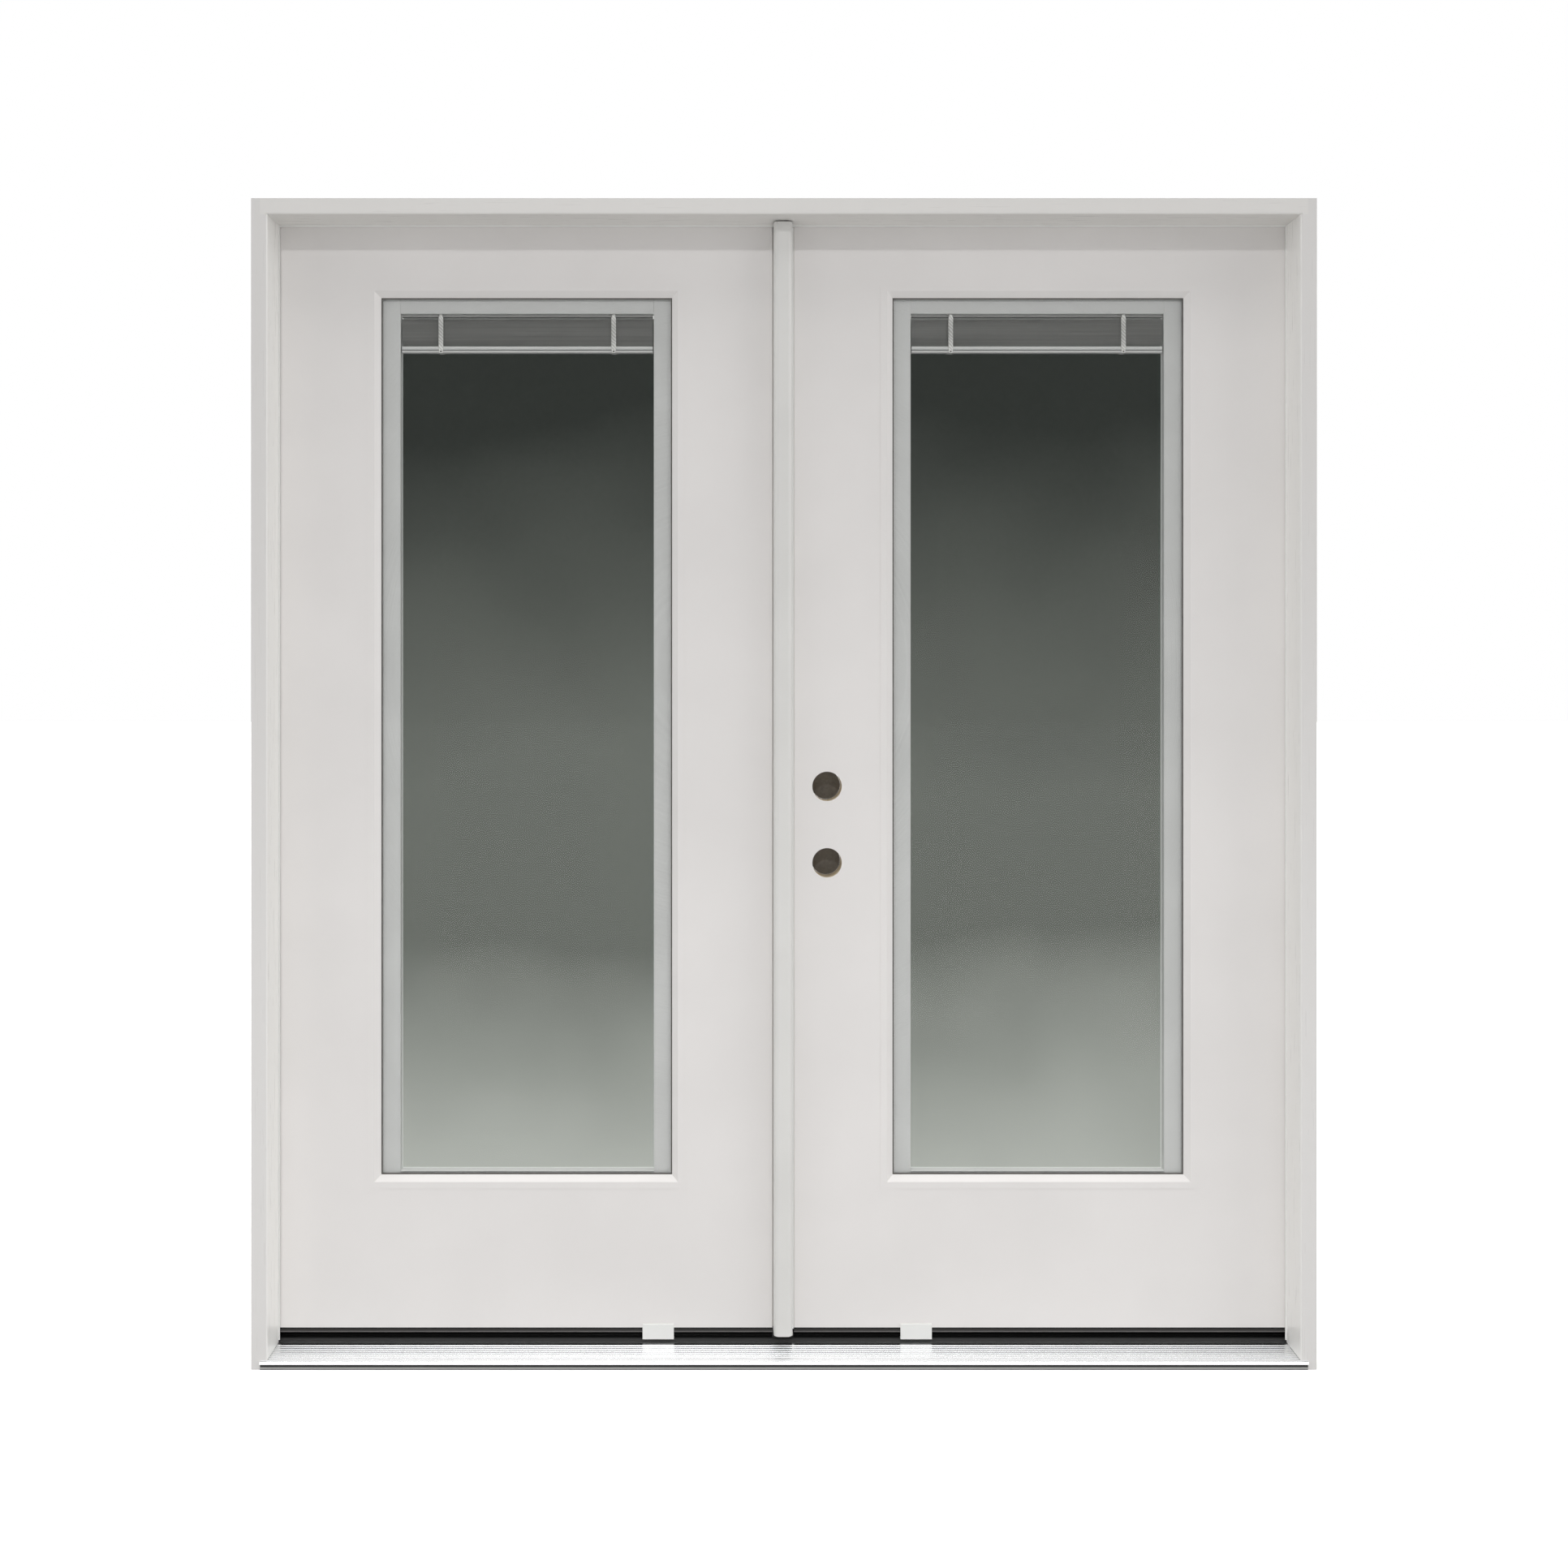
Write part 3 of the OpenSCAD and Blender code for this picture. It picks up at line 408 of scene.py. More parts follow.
@dataclass(frozen=True)
class Braid(Finish):
    """Braided polyester tape: soft white yarn in small slanting stitches.

    Attributes:
        stitch_mm: length of one stitch.
        turn: phase that the wave texture goes through over one unit of its scale.
        stray: how far the stitches stray from straight lines.
        relief: strength of the stitches' bump.
        deep: depth of that bump in metres.
        fuzz: sheen of the yarn.
    """

    stitch_mm: float = 1.6
    turn: float = 6.3
    stray: float = 3.0
    relief: float = 0.5
    deep: float = 0.4 * MM
    fuzz: float = 0.3

    def wire(self, tree: Any, shader: Any) -> None:
        """Slanting waves for the stitches, in colour and height.

        Args:
            tree: the material's node tree.
            shader: its shader.
        """
        place = node(tree, "ShaderNodeTexCoord").outputs["Object"]
        stitch = node(tree, "ShaderNodeTexWave",
                      {"Vector": place, "Scale": per_mm(self.stitch_mm) / self.turn,
                       "Distortion": self.stray, "Detail": 2.0}, bands_direction="DIAGONAL").outputs[1]
        colour = node(tree, "ShaderNodeMix", {0: stitch, 6: linear(self.shade), 7: linear(self.tone)},
                      data_type="RGBA").outputs[2]
        bump = node(tree, "ShaderNodeBump",
                    {"Height": stitch, "Strength": self.relief, "Distance": self.deep}).outputs[0]
        feed(tree, shader, {"Base Color": colour, "Normal": bump, "Roughness": self.rough,
                            "Sheen Weight": self.fuzz})


# Moulded fibreglass skin with a factory spray coat: an even warm white with a soft satin gloss.
SKIN = Coating("moulded_leaf_skin", "E6E3E1", "E1DEDC", 0.42, patch_mm=350.0)
# Sprayed timber jamb with the grain filled: white in the reveal and a little greyer on its outer face, a
# painted light by facing that stands in for light from the sides falling into the reveal.
JAMB = Streaked("sprayed_jamb", "F3F2EF", "EEEDEA", 0.3, streak_mm=2.5, along=(1.0, 1.0, 0.03), depth=0.02,
                face="DAD8D6")
# The head is cut from the same board, so its grain runs across.
HEAD = Streaked("sprayed_head", "E0DEDA", "DBD9D6", 0.3, streak_mm=2.5, along=(0.03, 1.0, 1.0), depth=0.02,
                face="DFDDDA")
# Powder-coated aluminium extrusion: smooth, with a slightly sharper gloss.
ASTRAGAL = Coating("powder_coated_astragal", "DCDBD8", "D6D5D2", 0.36, peel_mm=1.6)
# White flexible vinyl: matt and even, with a fine pebbled skin.
WHITE_VINYL = Coating("white_vinyl", "ECEBE8", "E6E5E1", 0.55, patch_mm=60.0, peel_mm=1.2)
# Black flexible vinyl: deep black, faintly drawn along its length, kept from shining grey in the pale studio.
# On the sill's skirt the same black is painted shade.
BLACK_VINYL_AND_SHADE = Streaked("black_vinyl", "080808", "040404", 0.24, streak_mm=4.0, along=(0.03, 1.0, 1.0),
                       depth=0.04, shine=0.02)
# The same black vinyl on the sweeps, with a painted reflection of the bright sill in grey bands across the
# round bead over the dark fins, lightest on its lower half.
SWEEP_PAINTED_REFLECTION = Banded("black_sweep_vinyl_painted_reflection", "080808", "040404", 0.24, streak_mm=4.0, along=(0.01, 1.0, 1.0),
                     depth=0.04, shine=0.03,
                     levels=((0.0328, "040404"), (0.0336, "7C7A78"), (0.0362, "626060"),
                             (0.0376, "3A3938"), (0.0408, "3A3938"), (0.0418, "060606")))
# Mill-finish aluminium: bright, with drawing lines along the sill.
MILL_ALUMINIUM = Streaked("mill_aluminium", "F6F7F8", "D3D4D5", 0.26, streak_mm=2.6, along=(0.0, 1.0, 1.0),
                          depth=0.012, metal=1.0)
# Pressed composite: dull grey-brown board.
COMPOSITE = Coating("pressed_composite", "6B665E", "57524B", 0.8, patch_mm=12.0, peel=0.2)
# Satin steel: brushed, with fine lines round the barrels and an even grain on the plates.
SATIN_STEEL = Streaked("satin_steel", "C6C4BF", "A9A7A2", 0.34, streak_mm=0.7, metal=1.0)
# Primed softwood: pale, with the grain up the leaf's edge.
SOFTWOOD = Streaked("primed_softwood", "E4D9C4", "CDBB9C", 0.62, streak_mm=3.5, along=(1.0, 1.0, 0.03),
                    depth=0.1)
# Rigid foam: pale yellow and porous, never seen on the closed leaf.
FOAM = Coating("rigid_foam", "E6DDB8", "D9CFA6", 0.9, patch_mm=5.0, peel=0.3)
# Grey coated channel: smooth factory coat on thin folded metal.
CHANNEL = Coating("coated_channel", "D2D3D1", "CBCCCA", 0.4, patch_mm=150.0, peel_mm=1.5)
# The blind's head in the same coat, with the folded strip under it in a darker grey.
BLIND_HEAD = Banded("coated_blind_head", "CBCCCA", "C5C6C4", 0.4, streak_mm=6.0, along=(0.02, 1.0, 1.0),
                    depth=0.0, levels=((1.8965, "8A8A88"), (1.898, "CBCCCA"), (1.926, "D1D2D0")))
# The bottom rail, drawn with a paler upper face, a fine dark groove that is painted shade, and a plain lower
# lip; each face is painted lighter towards its top, as painted light from above.
BLIND_RAIL = Banded("coated_blind_rail", "D2D3D1", "CBCCCA", 0.4, streak_mm=6.0, along=(0.02, 1.0, 1.0),
                    depth=0.0,
                    levels=((1.8277, "D0D0CE"), (1.8312, "D8D8D6"), (1.8316, "6E6E6C"),
                            (1.833, "6E6E6C"), (1.8334, "CECFCD"), (1.839, "DADBD9")))
# Anodised skirt under the sill's nose: satin grey, drawn along its length.
SKIRT = Streaked("anodised_skirt", "B4B4B2", "A6A6A4", 0.45, streak_mm=1.2, along=(0.0, 1.0, 1.0),
                 depth=0.02)
# Coil-coated slat: pale grey with a low gloss, its rows painted a little lighter and darker at random as
# painted shade, standing in for the uneven gaps of a stack's rows.
SLAT = Streaked("coil_coated_slat", "FBFBF9", "D2D2D0", 0.45, streak_mm=1.5, along=(0.004, 0.02, 0.5),
                depth=0.0)
# Braided polyester tape: soft white yarn, its stitches drawn coarse enough to show.
TAPE = Braid("braided_tape", "F2F2EF", "C9C9C5", 0.85)
# Moulded ABS: white, smooth, moderately glossy.
ABS = Coating("moulded_abs", "EDEDEA", "E7E7E3", 0.3, patch_mm=40.0, peel_mm=0.9, peel=0.05)
# Butyl glazing bead: soft dark grey line at the edge of the pane. The same dark grey is painted shade in the
# sunk middles of the rail's plugs.
BUTYL_AND_HOLE_SHADE = Coating("butyl_bead_and_painted_hole_shade", "55524E", "474440", 0.6, patch_mm=20.0, peel_mm=1.0)
# Pressed grey board for the bore discs: matt, with small flecks and a rough face, its dark grey a painted
# shade for the dark seen down the bores.
BORE_SHADE_BOARD = Coating("grey_board_painted_bore_shade", "77736D", "6C6862", 0.85, patch_mm=6.0, peel_mm=1.5, peel=0.15)
# Clear float glass on the outside: hardly seen, but for a faint grey haze.
CLEAR_GLASS = ClearGlass("clear_float_glass", "5A605B", "4A504B", 0.02)
# Float glass on the inside with painted shade: grey-green, dark towards the top, standing in for the dark
# room seen through it and mirrored in it, with a bare border.
ROOM_SHADE_GLASS = RoomShadeGlass("float_glass_painted_room_shade", "B4B8B1", "262926", 0.0, waist="6A6E68")

FRAME_FINISHES: dict[str, Finish] = {
    "left_jamb": JAMB, "right_jamb": JAMB, "head_jamb": HEAD, "sill_base": COMPOSITE,
    "sill_tread": MILL_ALUMINIUM, "sill_riser": BLACK_VINYL_AND_SHADE, "left_weatherstrip": WHITE_VINYL,
    "right_weatherstrip": WHITE_VINYL, "head_weatherstrip": WHITE_VINYL, "corner_pads": BLACK_VINYL_AND_SHADE,
    "frame_screws": SATIN_STEEL, "bolt_strikes": SATIN_STEEL, "jamb_hinge_leaves": SATIN_STEEL,
    "hinge_pins": SATIN_STEEL, "jamb_hinge_screws": SATIN_STEEL, "astragal": ASTRAGAL,
    "astragal_seal": WHITE_VINYL, "astragal_boot": BLACK_VINYL_AND_SHADE, "upper_bolt": SATIN_STEEL,
    "lower_bolt": SATIN_STEEL, "left_meeting_stile": SOFTWOOD, "right_lock_stile": SOFTWOOD,
}
LEAF_FINISHES: dict[str, Finish] = {
    "outer_skin": SKIN, "inner_skin": SKIN, "hinge_stile": SOFTWOOD, "top_rail": SOFTWOOD,
    "bottom_rail": SOFTWOOD, "core": FOAM, "hinge_leaves": SATIN_STEEL, "hinge_screws": SATIN_STEEL,
    "sweep": SWEEP_PAINTED_REFLECTION, "sweep_clip": WHITE_VINYL, "outer_pane": CLEAR_GLASS, "inner_pane": ROOM_SHADE_GLASS,
    "blind_head": BLIND_HEAD, "blind_channels": CHANNEL, "blind_sill": CHANNEL, "slats": SLAT,
    "ladders": TAPE, "blind_rail": BLIND_RAIL, "blind_slider": ABS,
}


class Bench:
    """Modelling steps that several pieces share."""

    @staticmethod
    def clear() -> None:
        """Deselect everything, because an operator acts on all that is selected."""
        bpy.ops.object.select_all(action="DESELECT")

    @staticmethod
    def settle(name: str) -> Any:
        """Apply the active object's place, turn and scale to its mesh and name it.

        Args:
            name: the piece's name.

        Returns:
            The object, at the origin.
        """
        bpy.ops.object.transform_apply(location=True, rotation=True, scale=True)
        made = bpy.context.object
        made.name = made.data.name = name
        return made

    @staticmethod
    def modify(piece: Any, kind: str, **settings: Any) -> None:
        """Add a modifier to a piece and apply it.

        Args:
            piece: the object.
            kind: the modifier's type name.
            **settings: the modifier's properties.
        """
        Bench.clear()
        piece.select_set(True)
        bpy.context.view_layer.objects.active = piece
        step = piece.modifiers.new(kind.lower(), kind)
        for key, value in settings.items():
            setattr(step, key, value)
        bpy.ops.object.modifier_apply(modifier=step.name)

    @staticmethod
    def pick(piece: Any, wanted: Callable[[Any], bool]) -> None:
        """Go into edit mode with only those faces selected that pass a test.

        Args:
            piece: the active object.
            wanted: the test of a face.
        """
        bpy.ops.object.mode_set(mode="EDIT")
        bpy.ops.mesh.select_mode(type="FACE")
        bpy.ops.mesh.select_all(action="DESELECT")
        bpy.ops.object.mode_set(mode="OBJECT")
        for face in piece.data.polygons:
            face.select = wanted(face)
        bpy.ops.object.mode_set(mode="EDIT")

    @staticmethod
    def points(piece: Any) -> np.ndarray:
        """Read a piece's vertices.

        Args:
            piece: the object.

        Returns:
            Rows of x, y and z.
        """
        flat = np.empty(len(piece.data.vertices) * 3, np.float64)
        piece.data.vertices.foreach_get("co", flat)
        return flat.reshape(-1, 3)

    @staticmethod
    def place(piece: Any, points: np.ndarray) -> None:
        """Write a piece's vertices."""
        piece.data.vertices.foreach_set("co", points.astype(np.float32).ravel())
        piece.data.update()

    @staticmethod
    def dress(piece: Any, finish: Finish) -> None:
        """Give a piece one finish all over."""
        piece.data.materials.clear()
        piece.data.materials.append(finish.build())


@dataclass
class Blind:
    """One leaf's blind: slats, ladder tapes and the rail's trim, raised at rest.

    The slats and tapes are shaped as they hang when lowered. Each point is then lifted to where the
    blended motion starts from, so that the lowered blind is even and each slat keeps its form.

    Attributes:
        side: the leaf that it belongs to.
        slats: number of slats.
        slat_faces: number of faces across a slat.
        crown: rise of a slat's middle over its edges.
        tilt: slope of a slat from back to front, in degrees.
        gauge: thickness of a slat.
        tape_wide: width of a ladder tape.
        tape_thick: thickness of a ladder tape.
        tape_faces: number of faces across a tape, and down it for each slat.
        scallop: how far a tape's edges swell at each slat.
        ripple: how far a tape's face swells at each slat.
        neck_share: width of a tape's top as a share of its width.
        plug_r: radius of the plugs on the rail.
        plug_deep: thickness of a plug.
        plug_up: height of a plug's middle over the rail's lower face.
        plug_sides: number of a plug's sides.
        plug_round: rounding of its edge as a share of its radius.
        plug_rim: width of its rim as a share of its radius.
        halvings: steps of the search for the raised places.
    """

    side: Side
    slats: int = 128
    slat_faces: int = 6
    crown: float = 1.1 * MM
    tilt: float = 32.0
    gauge: float = 0.3 * MM
    tape_wide: float = 8.6 * MM
    tape_thick: float = 0.5 * MM
    tape_faces: tuple[int, int] = (4, 2)
    scallop: float = 1.2 * MM
    ripple: float = 0.2 * MM
    neck_share: float = 0.4
    plug_r: float = 3.2 * MM
    plug_deep: float = 1.4 * MM
    plug_up: float = 2.0 * MM
    plug_sides: int = 32
    plug_round: float = 1 / 6
    plug_rim: float = 1 / 3
    halvings: int = 60

    def __post_init__(self) -> None:
        """Read the blind's place and travel from the frame."""
        name = self.side.value
        self.low, self.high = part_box(name + "_slats")
        self.rail_low, self.rail_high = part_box(name + "_blind_rail")
        self.tape_low, self.tape_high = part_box(name + "_ladders")
        self.top = self.high.z
        self.stack = self.top - self.rail_high.z
        joint = next(j for j in frame["joints"] if j["name"] == name + "_blind_lower")
        self.travel = joint["range_m"][1]

    def raised(self, drop: np.ndarray) -> np.ndarray:
        """Distance under the top at rest of points that hang at a distance when lowered.

        The blended motion eases in and out over the stack, so its start is found by halving.

        Args:
            drop: distances under the top with the blind lowered.

        Returns:
            The same points' distances under the top with the blind raised.
        """
        low, high = np.zeros_like(drop), np.full_like(drop, self.stack)
        for _ in range(self.halvings):
            middle = (low + high) / 2
            share = middle / self.stack
            deep = middle + self.travel * share * share * (3 - 2 * share) < drop
            low, high = np.where(deep, middle, low), np.where(deep, high, middle)
        return np.where(drop > self.stack + self.travel, drop - self.travel, np.where(drop < 0, drop, low))

    def lift(self, piece: Any) -> None:
        """Raise a piece that was shaped as it hangs lowered, and let it follow the rail.

        Args:
            piece: the slats or the tapes.
        """
        points = Bench.points(piece)
        points[:, 2] = self.top - self.raised(self.top - points[:, 2])
        Bench.place(piece, points)
        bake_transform(piece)

    def make_slats(self) -> Any:
        """Model one crowned slat, copy it down the blind and raise them all.

        Returns:
            The slats as one piece.
        """
        Bench.clear()
        middle = (self.low + self.high) / 2
        bpy.ops.mesh.primitive_grid_add(x_subdivisions=1, y_subdivisions=self.slat_faces, size=1)
        piece = bpy.context.object
        piece.scale = (self.high.x - self.low.x, self.high.y - self.low.y, 1)
        piece = Bench.settle(self.side.value + "_slat_stack")
        points = Bench.points(piece)
        half = (self.high.y - self.low.y) / 2
        points[:, 2] = self.crown * (1 - (points[:, 1] / half) ** 2)
        Bench.place(piece, points)
        Bench.modify(piece, "SOLIDIFY", thickness=self.gauge, offset=0)
        bpy.ops.object.mode_set(mode="EDIT")
        bpy.ops.mesh.select_all(action="SELECT")
        bpy.ops.transform.rotate(value=-math.radians(self.tilt), orient_axis="X", center_override=(0, 0, 0))
        bpy.ops.object.mode_set(mode="OBJECT")
        pitch = (self.stack + self.travel) / self.slats
        points = Bench.points(piece) + np.array((middle.x, middle.y, self.top - pitch / 2))
        Bench.place(piece, points)
        self.repeat(piece, (0, 0, -pitch), self.slats)
        Bench.dress(piece, SLAT)
        self.lift(piece)
        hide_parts(self.side.value + "_slats")
        return piece

    def make_tapes(self) -> Any:
        """Model one ladder tape with scalloped edges, copy it to its four places and raise them all.

        Returns:
            The tapes as one piece.
        """
        columns, steps = self.tape_faces
        rows = steps * self.slats
        crest = self.tape_high.z
        long = crest - self.rail_low.z + self.travel
        Bench.clear()
        bpy.ops.mesh.primitive_grid_add(x_subdivisions=columns, y_subdivisions=rows, size=1, rotation=UPRIGHT)
        piece = Bench.settle(self.side.value + "_ladder_tapes")
        points = Bench.points(piece)
        fall = 0.5 - points[:, 2]
        turn = np.cos(fall * rows * math.pi)
        # Only the first row of points, at the tape's top, is narrowed to the neck.
        wide = (self.tape_wide + self.scallop * turn) * np.where(fall * rows < 0.5, self.neck_share, 1)
        points[:, 0] = self.tape_low.x + self.tape_wide / 2 + points[:, 0] * wide
        points[:, 1] = self.tape_low.y + self.tape_thick + self.ripple * turn
        points[:, 2] = crest - fall * long
        Bench.place(piece, points)
        Bench.modify(piece, "SOLIDIFY", thickness=self.tape_thick, offset=0)
        span = self.tape_high - self.tape_low
        self.repeat(piece, (span.x - self.tape_wide, 0, 0))
        self.repeat(piece, (0, span.y - 2 * self.tape_thick, 0))
        bpy.ops.object.shade_smooth()
        Bench.dress(piece, TAPE)
        self.lift(piece)
        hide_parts(self.side.value + "_ladders")
        return piece

    @staticmethod
    def repeat(piece: Any, step: tuple[float, float, float], count: int = 2) -> None:
        """Copy a piece's mesh, at equal steps, until there are as many as the count."""
        Bench.modify(piece, "ARRAY", count=count, use_relative_offset=False, use_constant_offset=True,
                     constant_offset_displace=step)

    def make_plugs(self) -> Any:
        """Model the round plug with a sunk middle that holds each tape to the rail's lower lip; the middle is
        painted dark as painted shade in a deep hole.

        Returns:
            The plugs as one piece.
        """
        Bench.clear()
        bpy.ops.mesh.primitive_cylinder_add(
            vertices=self.plug_sides, radius=self.plug_r, depth=self.plug_deep, rotation=UPRIGHT,
            location=(self.tape_low.x + self.tape_wide / 2, self.tape_low.y, self.rail_low.z + self.plug_up))
        piece = Bench.settle(self.side.value + "_rail_plugs")
        Bench.dress(piece, ABS)
        piece.data.materials.append(BUTYL_AND_HOLE_SHADE.build())
        Bench.pick(piece, lambda face: face.normal.y < -FACING)
        bpy.ops.mesh.bevel(offset=self.plug_r * self.plug_round, segments=3, affect="EDGES")
        bpy.ops.object.mode_set(mode="OBJECT")
        widest = max(face.area for face in piece.data.polygons if face.normal.y < -SQUARE)
        Bench.pick(piece, lambda face: face.normal.y < -SQUARE and face.area > widest / 2)
        bpy.ops.mesh.inset(thickness=self.plug_r * self.plug_rim)
        bpy.ops.transform.translate(value=(0, self.plug_deep / 2, 0))
        # The sunk middle takes the dark butyl: painted shade, since the shallow sink casts little shade of
        # its own.
        piece.active_material_index = 1
        bpy.ops.object.material_slot_assign()
        bpy.ops.object.mode_set(mode="OBJECT")
        self.repeat(piece, (self.tape_high.x - self.tape_low.x - self.tape_wide, 0, 0))
        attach(piece, self.side.value + "_blind")
        return piece

    def build(self) -> list[Any]:
        """Make all the blind's pieces."""
        return [self.make_slats(), self.make_tapes(), self.make_plugs()]


@dataclass
class GlazingBead:
    """The thin dark bead round one pane, where the moulded bevel meets the glass.

    Attributes:
        side: the leaf that it belongs to.
        inner: whether it is on the inner pane.
        wide: how far it stands onto the glass.
        proud: its height on the glass.
        bite: how far the pane goes behind the bevel.
        stand: height of its middle over the glass as a share of its own height.
        edge: rounding of its edges.
    """

    side: Side
    inner: bool
    wide: float = 2.2 * MM
    proud: float = 1.2 * MM
    bite: float = 13 * MM
    stand: float = 0.55
    edge: float = 0.4 * MM

    def build(self) -> Any:
        """Model the bead as an inset and extruded frame.

        Returns:
            The bead.
        """
        name = "inner" if self.inner else "outer"
        low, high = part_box("%s_%s_pane" % (self.side.value, name))
        face = high.y if self.inner else low.y
        Bench.clear()
        bpy.ops.mesh.primitive_plane_add(size=1, rotation=UPRIGHT)
        piece = bpy.context.object
        piece.scale = (high.x - low.x - 2 * self.bite, high.z - low.z - 2 * self.bite, 1)
        piece.location = ((low.x + high.x) / 2, face, (low.z + high.z) / 2)
        piece = Bench.settle("%s_%s_bead" % (self.side.value, name))
        bpy.ops.object.mode_set(mode="EDIT")
        bpy.ops.mesh.select_all(action="SELECT")
        bpy.ops.mesh.inset(thickness=self.wide)
        bpy.ops.mesh.delete(type="FACE")
        bpy.ops.object.mode_set(mode="OBJECT")
        Bench.modify(piece, "SOLIDIFY", thickness=self.proud, offset=0)
        points = Bench.points(piece)
        points[:, 1] += (self.stand if self.inner else -self.stand) * self.proud
        Bench.place(piece, points)
        Bench.modify(piece, "BEVEL", width=self.edge, segments=2, limit_method="ANGLE")
        Bench.dress(piece, BUTYL_AND_HOLE_SHADE)
        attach(piece, self.side.value + "_leaf")
        return piece


@dataclass
class SillSkirt:
    """The ribbed grey strip under the sill's nose, on a black web that is painted shade: the shadow under the
    nose's lip above the ribs, a shade line between them and the contact shadow at its foot.

    Attributes:
        thick: thickness of the strip's web.
        rib: how far its ribs stand out.
        top: height of the strip's upper edge, under the nose's lip.
        ribs: lower and upper height of each rib.
        edge: rounding of its edges.
    """

    thick: float = 0.8 * MM
    rib: float = 0.7 * MM
    top: float = 10.4 * MM
    ribs: tuple[tuple[float, float], ...] = ((1.6 * MM, 3.0 * MM), (3.4 * MM, 4.8 * MM))
    edge: float = 0.2 * MM

    def on_rib(self, height: float) -> bool:
        """Whether a height lies on one of the ribs."""
        return any(low < height < high for low, high in self.ribs)

    def build(self) -> Any:
        """Model the strip from a bar that is cut at the ribs' edges, with the ribs drawn out of it.

        Returns:
            The strip.
        """
        low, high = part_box("sill_tread")
        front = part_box("left_jamb")[0].y
        Bench.clear()
        bpy.ops.mesh.primitive_cube_add(size=1, location=(0, front - self.thick / 2, self.top / 2))
        bpy.context.object.scale = (high.x - low.x, self.thick, self.top)
        piece = Bench.settle("sill_skirt")
        # The black web is painted shade; only the ribs take the grey skirt finish.
        Bench.dress(piece, BLACK_VINYL_AND_SHADE)
        piece.data.materials.append(SKIRT.build())
        for height in (end for pair in self.ribs for end in pair):
            bpy.ops.object.mode_set(mode="EDIT")
            bpy.ops.mesh.select_all(action="SELECT")
            bpy.ops.mesh.bisect(plane_co=(0, 0, height), plane_no=(0, 0, 1))
            bpy.ops.object.mode_set(mode="OBJECT")
        Bench.pick(piece, lambda face: face.normal.y < -FACING and self.on_rib(face.center.z))
        bpy.ops.mesh.extrude_region_move(TRANSFORM_OT_translate={"value": (0, -self.rib, 0)})
        bpy.ops.mesh.select_more()
        piece.active_material_index = 1
        bpy.ops.object.material_slot_assign()
        bpy.ops.object.mode_set(mode="OBJECT")
        Bench.modify(piece, "BEVEL", width=self.edge, segments=2, limit_method="ANGLE")
        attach(piece, "frame")
        return piece


@dataclass
class AstragalFin:
    """The thin soft lip on the astragal's seal that closes the slot beside the right leaf.

    Attributes:
        lap: how far the lip's root lies over the seal.
        reach: how far its tip stands past the seal.
        thick: thickness at the root.
        tip_share: thickness of the tip as a share of the root's.
        sunk_share: how far its middle lies behind the seal's front, as a share of its thickness.
        edge: rounding of its edges.
    """

    lap: float = 1.6 * MM
    reach: float = 1.55 * MM
    thick: float = 0.8 * MM
    tip_share: float = 0.5
    sunk_share: float = 0.25
    edge: float = 0.15 * MM

    def build(self) -> Any:
        """Model the lip from a bar that is narrowed towards its tip.

        Returns:
            The lip.
        """
        low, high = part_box("astragal_seal")
        wide = self.lap + self.reach
        Bench.clear()
        bpy.ops.mesh.primitive_cube_add(
            size=1, location=(high.x - self.lap + wide / 2, low.y + self.thick * self.sunk_share,
                              (low.z + high.z) / 2))
        bpy.context.object.scale = (wide, self.thick, high.z - low.z)
        piece = Bench.settle("astragal_fin")
        points = Bench.points(piece)
        front = points[:, 1].min()
        tip = points[:, 0] > high.x
        points[tip, 1] = front + (points[tip, 1] - front) * self.tip_share
        Bench.place(piece, points)
        Bench.modify(piece, "BEVEL", width=self.edge, segments=3, limit_method="ANGLE")
        Bench.dress(piece, WHITE_VINYL)
        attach(piece, "left_leaf")
        return piece


@dataclass
class BoreShadeDisc:
    """A thin grey disc at the inner end of each lock bore: a dark sheet of painted shade that stands in for
    the dark seen down the bore.

    Attributes:
        clear: gap between the disc and the bore's wall.
        thick: thickness of the disc.
        inset: how far it lies inside the inner face.
        lip: width of its raised rim.
        dish: how far its middle lies behind the rim.
        sides: number of its sides.
        edge: rounding of its edges.
    """

    clear: float = 0.3 * MM
    thick: float = 1.5 * MM
    inset: float = 2.0 * MM
    lip: float = 2.5 * MM
    dish: float = 0.8 * MM
    sides: int = 64
    edge: float = 0.3 * MM

    def build(self, mount: str) -> Any:
        """Model one disc with a raised rim.

        Args:
            mount: the bore's name in the record.

        Returns:
            The disc.
        """
        bore = next(m for m in frame["record"]["mounts"] if m["name"] == mount)
        radius = bore["dims"]["r_mm"] * MM - self.clear
        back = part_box("right_inner_skin")[1].y - self.inset
        Bench.clear()
        bpy.ops.mesh.primitive_cylinder_add(
            vertices=self.sides, radius=radius, depth=self.thick, rotation=UPRIGHT,
            location=(bore["pos_m"][0], back - self.thick / 2, bore["pos_m"][2]))
        piece = Bench.settle(mount + "_disc")
        for sense in (-1, 1):
            Bench.pick(piece, lambda face: face.normal.y * sense > FACING)
            bpy.ops.mesh.inset(thickness=self.lip)
            bpy.ops.transform.translate(value=(0, self.dish, 0))
            bpy.ops.object.mode_set(mode="OBJECT")
        Bench.modify(piece, "BEVEL", width=self.edge, segments=2, limit_method="ANGLE")
        Bench.dress(piece, BORE_SHADE_BOARD)
        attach(piece, "right_leaf")
        return piece


@dataclass(frozen=True)
class Sun:
    """An even lamp far away.

    Attributes:
        name: its name.
        energy: its strength.
        spread: its apparent width in degrees, which softens its shadows.
        aim: the direction that it shines in.
        mirrored: whether glossy surfaces show it.
    """

    name: str
    energy: float
    spread: float
    aim: tuple[float, float, float]
    mirrored: bool = True


